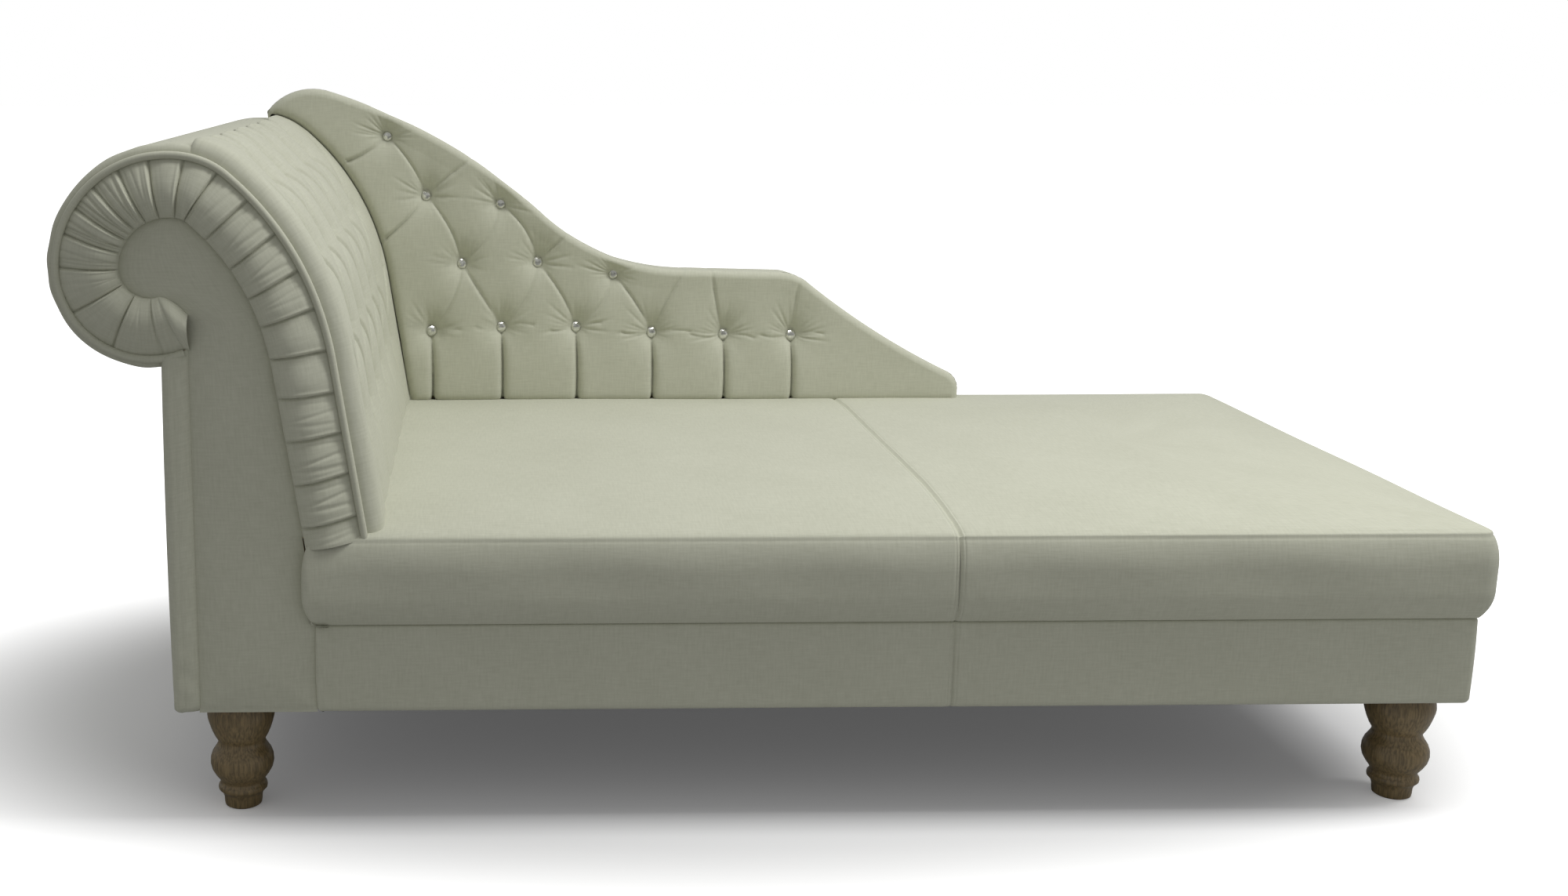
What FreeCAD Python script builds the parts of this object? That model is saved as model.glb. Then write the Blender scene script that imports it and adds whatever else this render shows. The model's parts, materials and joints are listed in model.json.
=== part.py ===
import FreeCAD, Part
import math
import os
import re

import Sketcher
from FreeCAD import Vector

# A buttoned chaise longue with one scroll arm, millimetres, +Z up.
# The origin lies on the floor under the middle of the whole length and depth.
# X runs from the scroll arm to the foot end, and the open front faces -Y.

SIZES = [
    ("seat_depth", 900, "front of the seat to its rear"),
    ("seat_end", 890, "origin to the foot end of the seat"),
    ("seat_edge_z", 370, "top seam of the seat along its front"),
    ("crown_rise", 20, "how far the seat rises between its edges"),
    ("side_bulge", 7, "how far the seat's sides swell"),
    ("edge_round", 16, "rounding of the seat's top edges"),
    ("arm_wide", 178, "arm's outside to the seat's head end, at its base"),
    ("arm_wide_top", 164, "arm's outside to the seat's head end, at its top"),
    ("crown_in", 267, "arm's outside to where the crown begins"),
    ("crown_full_in", 517, "arm's outside to where the crown is full"),
    ("crown_fall", 300, "length over which the crown falls to the foot end"),
    ("cover_skin", 4, "thickness of a cover with its lining"),
    ("seam_x", 214, "cross seam of the seat, from the origin"),
    ("seam_cut", 2, "depth of the cross seam"),
    ("slip", 0.3, "clearance between soft pieces"),

    ("arm_side", 757, "outside of the arm's post, from the origin"),
    ("post_wide", 32, "width of the arm's front strip"),
    ("plinth_inset", 15, "seat's edge to the plinth's face"),
    ("plinth_skin", 5, "padded cloth on the plinth"),
    ("hem_wide", 8, "cloth turned under the plinth"),
    ("hem_thick", 4, "thickness of that cloth"),
    ("dust_thick", 1, "black cloth under the frame"),
    ("rail_base_z", 150, "underside of the frame"),
    ("rail_high", 100, "height of the rails"),
    ("rail_thick", 32, "thickness of the rails"),
    ("board_thick", 18, "plywood of the back and the arm formers"),
    ("cross_low", 20, "how far the cross rails sit below the rails' top"),
    ("cross_head", 230, "head cross rail, from the origin"),
    ("cross_foot", 330, "foot cross rail, from the origin"),

    ("block_leg", 105, "leg of a corner block"),
    ("block_high", 40, "height of a corner block"),
    ("foot_head_in", 74, "arm's outside to the head feet"),
    ("foot_end_in", 73, "seat's foot end to the feet there"),
    ("foot_side_in", 78, "seat's front and rear to the feet"),
    ("foot_top", 37, "radius of a foot at the frame"),
    ("foot_cup", 43, "radius of its cup"),
    ("cup_z", 122, "height of the cup's widest ring"),
    ("cup_low", 104, "foot of the cup"),
    ("foot_neck", 31, "radius of the neck"),
    ("neck_z", 87, "height of the neck's bead"),
    ("foot_ball", 40.5, "radius of the ball"),
    ("ball_z", 58, "height of the ball's widest ring"),
    ("foot_waist", 28, "radius of the waist"),
    ("waist_z", 33, "height of the waist"),
    ("foot_bead", 31, "radius of the bead over the toe"),
    ("bead_z", 25, "height of that bead"),
    ("foot_toe", 24, "radius of the toe"),
    ("toe_top", 18, "height of the toe's top"),
    ("toe_round", 4, "rounding of the toe's edge"),
    ("bolt_radius", 4, "hanger bolts and frame bolts"),
    ("bolt_slip", 0.2, "clearance round a bolt"),
    ("bolt_sunk", 34, "hanger bolt's depth in the foot"),

    ("strap_wide", 50, "width of the webbing"),
    ("strap_thick", 2, "thickness of the webbing"),
    ("long_pitch", 130, "spacing of the long straps"),
    ("long_straps", 6, "number of long straps"),
    ("cross_pitch", 118, "spacing of the cross straps"),
    ("cross_straps", 12, "number of cross straps"),
    ("felt_thick", 6, "insulating felt on the webbing"),

    ("scroll_in", 242.1, "arm's outside to the piping line at the seat"),
    ("scroll_z", 359, "height where the scroll's outline starts"),
    ("scroll_lean", 99, "heading of the outline's straight, degrees"),
    ("scroll_rise", 234.6, "length of the straight"),
    ("scroll_r1", 413.9, "first radius"),
    ("scroll_a1", 9.7, "first turn, degrees"),
    ("scroll_r2", 353.8, "second radius"),
    ("scroll_a2", 30.5, "second turn"),
    ("scroll_r3", 93.9, "third radius, to the top seam"),
    ("scroll_a3", 30.6, "third turn"),
    ("scroll_r4", 135.7, "fourth radius, over the roll"),
    ("scroll_a4", 96.6, "fourth turn"),
    ("scroll_r5", 108.2, "fifth radius, under the roll"),
    ("scroll_a5", 117.2, "fifth turn, to the front strip"),
    ("roll_a5", 99.6, "turn of the padding, to the arm's side"),
    ("border_wide", 73, "width of the gathered border"),
    ("border_edge", 3.5, "piping line to the border"),
    ("border_side", 8, "border's thickness at its edges"),
    ("border_crown", 19, "border's thickness at its middle"),
    ("border_pleats", 19, "number of gathers"),
    ("gather_deep", 8, "depth of a gather"),
    ("gather_wide", 9, "width of a gather"),
    ("facing_thick", 6, "padded cloth of the facing"),
    ("piping_radius", 3.5, "radius of the piping"),
    ("roll_proud", 13.3, "cover outside the piping line, on the roll"),
    ("quilt_proud", 24, "tufted cover outside the piping line"),
    ("quilt_under", 8, "underside of the quilt, inside the line"),
    ("pad_under", 40, "underside of the arm's padding"),
    ("liner_thick", 4, "bent board that backs the padding"),
    ("slat_thick", 20, "thickness of the arm's slats"),
    ("slat_wide", 40, "width of the arm's slats"),
    ("slat_first", 60, "first slat, along the outline"),
    ("slat_pitch", 140, "spacing of the slats"),
    ("slat_count", 7, "number of slats"),
    ("quilt_round", 18, "rounding of the quilt's front edge"),

    ("back_in", 37, "arm's outside to the start of the back's outline"),
    ("back_z", 861.7, "height of that start"),
    ("back_lean", 52.2, "heading of that start, degrees"),
    ("back_r1", 93.3, "radius of the peak"),
    ("back_a1", 69.4, "turn of the peak"),
    ("back_r2", 911.2, "radius of the long fall"),
    ("back_a2", 25.3, "turn of the long fall"),
    ("back_r3", 351.8, "radius of the hollow"),
    ("back_a3", 41, "turn of the hollow"),
    ("back_flat", 165.1, "length of the level stretch"),
    ("back_r4", 71.1, "radius of the shoulder"),
    ("back_a4", 37.4, "turn of the shoulder"),
    ("back_r5", 1242.9, "radius of the lower fall"),
    ("back_a5", 13.1, "turn of the lower fall"),
    ("back_r6", 33, "radius of the end"),
    ("back_a6", 64.2, "turn of the end"),
    ("back_deep", 105, "seat's rear to the front of the buttoned back"),
    ("back_quilt", 34, "thickness of the buttoned layer"),
    ("back_wrap", 10, "cloth and wadding over the back's edge"),
    ("batten_wide", 45, "width of the back's battens"),
    ("batten_in", 357, "arm's outside to the first batten"),
    ("batten_pitch", 300, "spacing of the battens"),
    ("batten_short", 30, "battens end this far under the back's edge"),
    ("button_radius", 9, "buttons"),
    ("button_high", 8, "height of a button"),
    ("well_deep", 26, "depth of a tuft in the back"),
    ("arm_well_deep", 24, "depth of a tuft in the arm"),
    ("well_wide", 40, "radius of a tuft at the surface"),
    ("well_floor", 10, "radius of a tuft's floor"),
    ("pleat_deep", 15, "depth of the folds between tufts"),
    ("pleat_wide", 20, "width of the folds between tufts"),
    ("tuft_pitch", 121, "spacing of the tufts in a row"),
    ("tuft_rise", 107, "spacing of the rows of tufts"),
    ("tuft_shift", 50, "sideways step from row to row of the back"),
    ("tuft_edge", 32, "least distance of a tuft from the back's edge"),
    ("tuft_row_z", 505, "height of the lowest row of the back"),
    ("tuft_row_in", 300, "arm's outside to the first tuft of that row"),
    ("arm_row_start", 146, "lowest row of the arm, along the outline"),
    ("arm_tuft_in", 110, "seat's front to the first tuft of the arm"),
]

doc = FreeCAD.newDocument("chaise_longue")
sheet = doc.addObject("Spreadsheet::Sheet", "Sizes")
Y_AXIS = Vector(0, 1, 0)


def fill_sheet():
    """Each row holds what a size measures and its value, under the size's name."""
    for row, (name, number, meaning) in enumerate(SIZES, 1):
        sheet.set("A%d" % row, meaning)
        sheet.set("B%d" % row, str(number))
        sheet.setAlias("B%d" % row, name)
    doc.recompute()


def bound(words):
    """Point each size's name in a formula at the sheet."""
    return re.sub(r"[a-z]\w*", lambda found: "Sizes." + found.group(0), str(words))


def value(words):
    """Work a formula of sizes out as a number."""
    return float(sheet.evalExpression(bound(words)))


def note_result(name, formula, meaning):
    """Keep a worked-out place in the sheet, so that bodies can be bound to it."""
    row = len(sheet.getUsedCells()) // 2 + 1
    sheet.set("A%d" % row, meaning)
    sheet.set("B%d" % row, repr(round(value(formula), 4)))
    sheet.setAlias("B%d" % row, name)
    doc.recompute()


fill_sheet()

# Places along X, as distances from the origin towards the head
note_result("root_low", "arm_side - arm_wide", "seat's head end at its base")
note_result("root_high", "arm_side - arm_wide_top", "seat's head end at its top")
note_result("crown_start", "arm_side - crown_in", "where the crown begins")
note_result("crown_full", "arm_side - crown_full_in", "where the crown is full")
note_result("scroll_x", "arm_side - scroll_in", "piping line at the seat")
note_result("back_x", "arm_side - back_in", "start of the back's outline")
note_result("batten_first", "arm_side - batten_in", "first batten")
note_result("tuft_row_x", "arm_side - tuft_row_in", "first tuft of the back's lowest row")

# Places along Y, as distances from the long axis
note_result("back_face", "seat_depth / 2 - back_deep", "front of the buttoned back")
note_result("arm_tuft_y", "seat_depth / 2 - arm_tuft_in", "first tuft of the arm")

# Places that several pieces share, as formulas of sizes
RAIL_TOP = "(rail_base_z + rail_high)"
FRAME_HEAD = "(-arm_side + plinth_skin)"
PLINTH_END = "(seat_end - plinth_inset)"
FRAME_END = "(seat_end - plinth_inset - plinth_skin)"
PLINTH_SIDE = "(seat_depth / 2 - plinth_inset)"
FRAME_SIDE = "(seat_depth / 2 - plinth_inset - plinth_skin)"
FRAME_INNER = "(seat_depth / 2 - plinth_inset - plinth_skin - rail_thick)"
BOARD_FRONT = "(seat_depth / 2 - plinth_inset - plinth_skin - board_thick)"
HEM_SIDE = "(seat_depth / 2 - plinth_inset - plinth_skin - hem_wide)"
QUILT_REAR = "(back_face + back_quilt)"
HEM_BASE = "(rail_base_z - hem_thick)"
SEAT_BASE = "(rail_base_z + rail_high + 2 * strap_thick + felt_thick)"
PLINTH_TOP = "(rail_base_z + rail_high + 2 * strap_thick + felt_thick - slip)"
FOOT_X = ("(-arm_side + foot_head_in)", "(seat_end - foot_end_in)")
FOOT_Y = ("(-seat_depth / 2 + foot_side_in)", "(seat_depth / 2 - foot_side_in)")
FEET = [(across, up) for across in FOOT_X for up in FOOT_Y]


# Outlines as paths of straights and arcs in the XZ plane

def right_of(heading):
    """Unit vector to the right of a heading, in degrees from +X towards +Z."""
    angle = math.radians(heading)
    return Vector(math.sin(angle), 0, -math.cos(angle))


def ahead_of(heading):
    angle = math.radians(heading)
    return Vector(math.cos(angle), 0, math.sin(angle))


class Span:
    """One straight or arc: start, heading, radius (0 when straight), turn and length."""

    def __init__(self, start, heading, radius, turn, length):
        self.start = start
        self.heading = heading
        self.radius = radius
        self.turn = turn
        self.length = length

    def centre(self):
        return self.start - right_of(self.heading) * math.copysign(self.radius, self.turn)

    def place(self, distance):
        """Point and heading at a distance along the span."""
        if not self.radius:
            return self.start + ahead_of(self.heading) * distance, self.heading
        heading = self.heading + self.turn * distance / self.length
        return self.centre() + right_of(heading) * math.copysign(self.radius, self.turn), heading

    def beside(self, distance, offset):
        """Point at a distance along the span, moved to its right."""
        point, heading = self.place(distance)
        return point + right_of(heading) * offset

    def edge(self, offset):
        ends = [self.beside(share * self.length, offset) for share in (0, 0.5, 1)]
        if not self.radius:
            return Part.LineSegment(ends[0], ends[2]).toShape()
        return Part.Arc(*ends).toShape()


def trace(start, heading, steps):
    """Chain tangent steps: a pair of radius and turn, or of 0 and a length."""
    spans = []
    for radius, amount in steps:
        length = radius * math.radians(abs(amount)) if radius else amount
        spans.append(Span(start, heading, radius, amount if radius else 0, length))
        start, heading = spans[-1].place(length)
    return spans


def path_length(spans):
    return sum(span.length for span in spans)


def stretch(spans, first, last):
    """The part of a path between two lengths along it."""
    cut = []
    begin = 0
    for span in spans:
        near = max(first, begin) - begin
        far = min(last, begin + span.length) - begin
        if far - near > 0.01:
            start, heading = span.place(near)
            share = (far - near) / span.length
            cut.append(Span(start, heading, span.radius, span.turn * share, far - near))
        begin += span.length
    return cut


def path_place(spans, distance):
    """Point and heading at a length along a path."""
    for span in spans:
        if distance <= span.length:
            return span.place(distance)
        distance -= span.length
    return spans[-1].place(spans[-1].length + distance)


def path_height(spans, x):
    """Height of a left-to-right path over a place on the X axis."""
    low, high = 0, path_length(spans)
    while high - low > 0.01:
        middle = (low + high) / 2
        if path_place(spans, middle)[0].x < x:
            low = middle
        else:
            high = middle
    return path_place(spans, low)[0].z


def closed_face(pieces):
    """Face inside a chain of points and edges, joined by straights."""
    edges = []
    first = last = None
    for piece in pieces:
        start = end = piece
        if not isinstance(piece, Vector):
            start, end = piece.firstVertex(True).Point, piece.lastVertex(True).Point
        if last is not None and last.distanceToPoint(start) > 0.001:
            edges.append(Part.LineSegment(last, start).toShape())
        if not isinstance(piece, Vector):
            edges.append(piece)
        first = start if first is None else first
        last = end
    if last.distanceToPoint(first) > 0.001:
        edges.append(Part.LineSegment(last, first).toShape())
    return Part.Face(Part.Wire(edges))


def plate(face, front, rear):
    """Solid between two places on the Y axis."""
    moved = face.copy()
    moved.translate(Vector(0, front, 0))
    return moved.extrude(Vector(0, rear - front, 0))


def carried(spans, section):
    """Carry a section along a path: straights are drawn out and arcs are turned."""
    solids = []
    for span in spans:
        side = right_of(span.heading)
        face = section(lambda out, y: span.start + side * out + Y_AXIS * y)
        if span.radius:
            axis = Vector(0, -math.copysign(1, span.turn), 0)
            solids.append(face.revolve(span.centre(), axis, abs(span.turn)))
        else:
            solids.append(face.extrude(ahead_of(span.heading) * span.length))
    if len(solids) == 1:
        return solids[0]
    return solids[0].fuse(solids[1:]).removeSplitter()


def box_section(inner, outer, front, rear):
    """Plain strip between two offsets and two places on the Y axis."""
    corners = [(inner, front), (outer, front), (outer, rear), (inner, rear)]
    return lambda place: closed_face([place(out, y) for out, y in corners])


def rounded_section(inner, outer, front, rear, radius):
    """Strip whose outer front corner is round."""
    def section(place):
        near = radius * (1 - math.sqrt(0.5))
        corner = Part.Arc(place(outer - radius, front), place(outer - near, front + near),
                          place(outer, front + radius)).toShape()
        return closed_face([place(inner, front), corner, place(outer, rear), place(inner, rear)])
    return section


def bevelled_section(inner, outer, front, rear, bevel):
    """Strip whose outer front corner is bevelled."""
    def section(place):
        return closed_face([place(inner, front), place(outer - bevel, front),
                            place(outer, front + bevel), place(outer, rear), place(inner, rear)])
    return section


def crowned_section(inner, outer, back, edge, crown, facets=3):
    """Strip that lies on a plane and swells to the front, thickest at its middle."""
    def section(place):
        swell = []
        for number in range(facets + 1):
            share = number / facets
            proud = edge + (crown - edge) * (1 - (2 * share - 1) ** 2)
            swell.append(place(inner + (outer - inner) * share, back - proud))
        return closed_face([place(inner, back)] + swell + [place(outer, back)])
    return section


def cord_section(out, y, radius, sides=6):
    """Cord with a few flat sides."""
    def section(place):
        turns = [2 * math.pi * (number + 0.5) / sides for number in range(sides)]
        return closed_face([place(out + radius * math.cos(turn), y + radius * math.sin(turn))
                            for turn in turns])
    return section


def block(low, high):
    """Box between two corners."""
    return Part.makeBox(high[0] - low[0], high[1] - low[1], high[2] - low[2], Vector(*low))


def ring(centre, axis, across, radius, sides=8):
    """Corners of a regular polygon round an axis, the first one beside it."""
    return [centre + FreeCAD.Rotation(axis, 360 * (number + 0.5) / sides).multVec(across) * radius
            for number in range(sides)]


def faceted(rings):
    """Solid with flat facets between rings of as many corners each."""
    facets = [closed_face(rings[0]), closed_face(rings[-1])]
    for low, high in zip(rings, rings[1:]):
        for number in range(len(low)):
            after = (number + 1) % len(low)
            facets.append(closed_face([low[number], low[after], high[after], high[number]]))
    solid = Part.makeSolid(Part.makeShell(facets))
    if solid.Volume < 0:
        solid.reverse()
    return solid


def far_box(low_z, high_z):
    """Box wider than the whole piece, between two heights."""
    reach = value("seat_end + arm_side")
    return block((-reach, -reach, low_z), (reach, reach, high_z))


# The main outlines, from the sheet

ARM_FLOOR = value("seat_edge_z + slip")
FRONT = -value(FRAME_SIDE)
REAR = value(FRAME_SIDE)
BOARD_Y = value(BOARD_FRONT)
SLIP = value("slip")

SCROLL = trace(Vector(-value("scroll_x"), 0, value("scroll_z")), value("scroll_lean"),
               [(0, value("scroll_rise"))]
               + [(value("scroll_r%d" % step), value("scroll_a%d" % step)) for step in range(1, 6)])
TUFTED = SCROLL[:4]
ROLL = SCROLL[4:5] + stretch(SCROLL[5:], 0, value("scroll_r5") * math.radians(value("roll_a5")))
PADDED = TUFTED + ROLL
BACK = trace(Vector(-value("back_x"), 0, value("back_z")), value("back_lean"), [
    (value("back_r1"), -value("back_a1")),
    (value("back_r2"), -value("back_a2")),
    (value("back_r3"), value("back_a3")),
    (0, value("back_flat")),
    (value("back_r4"), -value("back_a4")),
    (value("back_r5"), value("back_a5")),
    (value("back_r6"), -value("back_a6"))])
BACK_END = path_place(BACK, path_length(BACK))[0].x


note_result("board_right", "%.4f - back_wrap - slip" % BACK_END, "end of the back board")


# Bodies drawn on sketches

def plane_of(body, role):
    """Find one of a body's own origin planes or axes."""
    for feature in body.Origin.OriginFeatures:
        if feature.Role == role:
            return feature
    raise ValueError(role)


def new_sketch(body, name, role, offset):
    """A sketch on an origin plane, moved along the plane's normal."""
    sketch = body.newObject("Sketcher::SketchObject", name)
    sketch.AttachmentSupport = [(plane_of(body, role), "")]
    sketch.MapMode = "FlatFace"
    sketch.setExpression(".AttachmentOffset.Base.z", bound(offset))
    return sketch


def hold_point(sketch, curve, point, across, up, name):
    """Tie one point of a curve to the origin with two sizes."""
    for kind, words in (("DistanceX", across), ("DistanceY", up)):
        size_name = name + kind[-1]
        rule = Sketcher.Constraint(kind, -1, 1, curve, point, value(words))
        sketch.renameConstraint(sketch.addConstraint(rule), size_name)
        sketch.setExpression("Constraints." + size_name, bound(words))


def draw_polygon(sketch, corners, name):
    """Closed straight outline, each corner tied to the sheet."""
    places = [Vector(value(across), value(up), 0) for across, up in corners]
    curves = []
    for start, end in zip(places, places[1:] + places[:1]):
        curves.append(sketch.addGeometry(Part.LineSegment(start, end), False))
    for curve, after in zip(curves, curves[1:] + curves[:1]):
        sketch.addConstraint(Sketcher.Constraint("Coincident", curve, 2, after, 1))
    for number, (curve, (across, up)) in enumerate(zip(curves, corners)):
        hold_point(sketch, curve, 1, across, up, "%s%d" % (name, number))


def octagon(x, y, radius):
    """Corners of an eight-sided rod or bore round a place, as formulas."""
    turns = [math.pi * (number + 0.5) / 4 for number in range(8)]
    return [("%s + %s * %.5f" % (x, radius, math.cos(turn)),
             "%s + %s * %.5f" % (y, radius, math.sin(turn))) for turn in turns]


def rectangle(left, low, right, high):
    return [(left, low), (right, low), (right, high), (left, high)]


def pad_body(name, role, start, thickness, outlines):
    """A body that starts with outlines padded from an origin plane along its normal."""
    body = doc.addObject("PartDesign::Body", name)
    body.Label = name
    body.AllowCompound = True
    add_pad(body, "_outline", role, start, thickness, outlines)
    return body


def add_pad(body, name, role, start, thickness, outlines):
    """Pad more outlines onto a body."""
    sketch = new_sketch(body, body.Name + name, role, start)
    for number, corners in enumerate(outlines):
        draw_polygon(sketch, corners, "p%d_" % number)
    pad = body.newObject("PartDesign::Pad", body.Name + name + "_pad")
    pad.Profile = sketch
    pad.setExpression("Length", bound(thickness))
    doc.recompute()


def pocket(body, name, role, start, deep, outlines):
    """Cut outlines along the plane's normal, and see that they cut."""
    before = body.Shape.Volume
    sketch = new_sketch(body, body.Name + name, role, start)
    for number, corners in enumerate(outlines):
        draw_polygon(sketch, corners, "p%d_" % number)
    cut = body.newObject("PartDesign::Pocket", body.Name + name + "_cut")
    cut.Profile = sketch
    cut.Reversed = True
    cut.setExpression("Length", bound(deep))
    doc.recompute()
    if body.Shape.Volume > before - 1:
        raise ValueError(body.Name + name + " cuts nothing")


def repeat(body, axis_role, pitch, count):
    """Copy the body's last feature in a row."""
    row = body.newObject("PartDesign::LinearPattern", body.Name + "_row")
    row.Originals = [body.Tip]
    row.Direction = (plane_of(body, axis_role), [""])
    row.setExpression("Length", bound("%s * (%s - 1)" % (pitch, count)))
    row.setExpression("Occurrences", bound(count))
    body.Tip = row
    doc.recompute()


def shape_piece(name, shape):
    """A sub-part whose form is worked out from the sheet."""
    piece = doc.addObject("Part::Feature", name)
    piece.Label = name
    piece.Shape = shape
    piece.Placement = FreeCAD.Placement()
    return piece


# Frame, feet and seat deck

def make_rails():
    """Hardwood seat frame: four rails, two cross rails and the bearer under the arm."""
    front = pad_body("front_rail", "XY_Plane", "rail_base_z", "rail_high", [
        rectangle(FRAME_HEAD, "-" + FRAME_SIDE, FRAME_END, "-" + FRAME_INNER)])
    pocket(front, "_rebate", "XY_Plane", "rail_base_z", "rail_high", [
        rectangle(FRAME_HEAD, "-" + FRAME_SIDE, "-root_low", "-" + BOARD_FRONT)])
    rear = pad_body("rear_rail", "XY_Plane", "rail_base_z", "rail_high", [
        rectangle(FRAME_HEAD, FRAME_INNER, FRAME_END, FRAME_SIDE)])
    pocket(rear, "_rebate", "XY_Plane", "rail_base_z", "rail_high", [
        rectangle(FRAME_HEAD, BOARD_FRONT, "board_right", FRAME_SIDE)])
    pad_body("head_end_rail", "XY_Plane", "rail_base_z", "rail_high", [
        rectangle(FRAME_HEAD, "-" + FRAME_INNER, FRAME_HEAD + " + rail_thick", FRAME_INNER)])
    pad_body("foot_end_rail", "XY_Plane", "rail_base_z", "rail_high", [
        rectangle(FRAME_END + " - rail_thick", "-" + FRAME_INNER, FRAME_END, FRAME_INNER)])
    pad_body("arm_bearer_rail", "XY_Plane", "rail_base_z", "rail_high", [
        rectangle("-root_low - rail_thick", "-" + FRAME_INNER, "-root_low", FRAME_INNER)])
    pad_body("cross_rails", "XY_Plane", "rail_base_z", "rail_high - cross_low", [
        rectangle("%s - rail_thick / 2" % middle, "-" + FRAME_INNER,
                  "%s + rail_thick / 2" % middle, FRAME_INNER)
        for middle in ("-cross_head", "cross_foot")])


def make_corner_blocks():
    """Glued triangular blocks that take the feet's bolts."""
    triangles = []
    for corner_x, way_x in ((FRAME_HEAD + " + rail_thick", "+"), (FRAME_END + " - rail_thick", "-")):
        for side, way_y in (("-", "+"), ("", "-")):
            corner_y = side + FRAME_INNER
            triangles.append([(corner_x, corner_y),
                              ("%s %s block_leg" % (corner_x, way_x), corner_y),
                              (corner_x, "%s %s block_leg" % (corner_y, way_y))])
    blocks = pad_body("corner_blocks", "XY_Plane", "rail_base_z", "block_high", triangles)
    pocket(blocks, "_bores", "XY_Plane", "rail_base_z", "block_high", [
        octagon(x, y, "(bolt_radius + bolt_slip)") for x, y in FEET])


def make_foot_bolts():
    """Hanger bolt that joins each foot to its corner block."""
    pad_body("foot_bolts", "XY_Plane", "rail_base_z - bolt_sunk", "bolt_sunk + block_high", [
        octagon(x, y, "bolt_radius") for x, y in FEET])


def turned_foot(x, y):
    """Lathe profile from the frame down: cup, neck bead, ball, waist, bead and toe."""
    def at(radius, height):
        return Vector(value(radius), 0, value(height))

    def swell(start, through, end, flats):
        return Part.Arc(start, through, end).toShape().discretize(flats + 1)

    cup = swell(at("foot_top", "rail_base_z"), at("foot_cup", "cup_z"),
                at("foot_cup - toe_round", "cup_low"), 2)
    ball = swell(at("foot_neck", "neck_z - toe_round / 2"), at("foot_ball", "ball_z"),
                 at("foot_waist", "waist_z"), 4)
    neck = [at("foot_neck", "(cup_low + neck_z) / 2"),
            at("foot_neck + toe_round / 2", "neck_z + toe_round / 2")]
    toe = [at("foot_bead", "bead_z"), at("foot_toe", "toe_top"), at("foot_toe - toe_round / 2", "0")]
    profile = closed_face([at("0", "rail_base_z")] + cup + neck + ball + toe + [at("0", "0")])
    foot = profile.revolve(Vector(0, 0, 0), Vector(0, 0, 1), 360)
    foot.translate(Vector(x, y, 0))
    bore_radius = value("bolt_radius + bolt_slip")
    bore = [ring(Vector(x, y, value(height)), Vector(0, 0, 1), Vector(1, 0, 0), bore_radius)
            for height in ("rail_base_z - bolt_sunk", "rail_base_z + 1")]
    return foot.cut(faceted(bore))


def make_feet():
    """Four turned feet, in a pair at the front and a pair at the rear."""
    for name, y in zip(("front_feet", "rear_feet"), FOOT_Y):
        feet = [turned_foot(value(x), value(y)) for x in FOOT_X]
        shape_piece(name, Part.makeCompound(feet))


def make_deck():
    """Webbing both ways over the rails, felt on it and dust cloth under the frame."""
    inner = BOARD_FRONT + " - slip"
    first = "-long_pitch * (long_straps - 1) / 2"
    straps = pad_body("webbing_long_straps", "XY_Plane", RAIL_TOP, "strap_thick", [
        rectangle(FRAME_HEAD, first + " - strap_wide / 2", FRAME_END, first + " + strap_wide / 2")])
    repeat(straps, "Y_Axis", "long_pitch", "long_straps")
    straps = pad_body("webbing_cross_straps", "XY_Plane", RAIL_TOP + " + strap_thick",
                      "strap_thick", [
        rectangle("-root_low + strap_wide / 2", "-(%s)" % inner,
                  "-root_low + strap_wide * 3 / 2", inner)])
    repeat(straps, "X_Axis", "cross_pitch", "cross_straps")
    pad_body("seat_felt", "XY_Plane", RAIL_TOP + " + 2 * strap_thick", "felt_thick", [
        rectangle("-root_low + slip", "-" + FRAME_SIDE, FRAME_END, inner)])
    dust = pad_body("dust_cover", "XY_Plane", "rail_base_z - dust_thick", "dust_thick", [
        rectangle(FRAME_HEAD + " + hem_wide + slip", "-%s + slip" % HEM_SIDE,
                  FRAME_END + " - hem_wide - slip", HEM_SIDE + " - slip")])
    pocket(dust, "_foot_holes", "XY_Plane", "rail_base_z - dust_thick", "dust_thick", [
        rectangle("%s - foot_cup" % x, "%s - foot_cup" % y, "%s + foot_cup" % x, "%s + foot_cup" % y)
        for x, y in FEET])


def make_base_borders():
    """Padded cloth round the rails, hemmed under them, joined at the cross seam."""
    pad_body("base_border_head", "YZ_Plane", "-root_low", "root_low + seam_x", [[
        ("-" + PLINTH_SIDE, HEM_BASE),
        ("-" + HEM_SIDE, HEM_BASE),
        ("-" + HEM_SIDE, "rail_base_z"),
        ("-" + FRAME_SIDE, "rail_base_z"),
        ("-" + FRAME_SIDE, PLINTH_TOP),
        ("-" + PLINTH_SIDE, PLINTH_TOP)]])
    rear_start = "board_right + 2 * slip"
    border = pad_body("base_border_foot", "XY_Plane", HEM_BASE, PLINTH_TOP + " - " + HEM_BASE, [[
        ("seam_x", "-" + PLINTH_SIDE),
        (PLINTH_END, "-" + PLINTH_SIDE),
        (PLINTH_END, PLINTH_SIDE),
        (rear_start, PLINTH_SIDE),
        (rear_start, FRAME_SIDE),
        (FRAME_END, FRAME_SIDE),
        (FRAME_END, "-" + FRAME_SIDE),
        ("seam_x", "-" + FRAME_SIDE)]])
    add_pad(border, "_hem", "XY_Plane", HEM_BASE, "hem_thick", [[
        ("seam_x", "-" + FRAME_SIDE),
        (FRAME_END, "-" + FRAME_SIDE),
        (FRAME_END, FRAME_SIDE),
        (rear_start, FRAME_SIDE),
        (rear_start, HEM_SIDE),
        (FRAME_END + " - hem_wide", HEM_SIDE),
        (FRAME_END + " - hem_wide", "-" + HEM_SIDE),
        ("seam_x", "-" + HEM_SIDE)]])


# Seat pad

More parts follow.
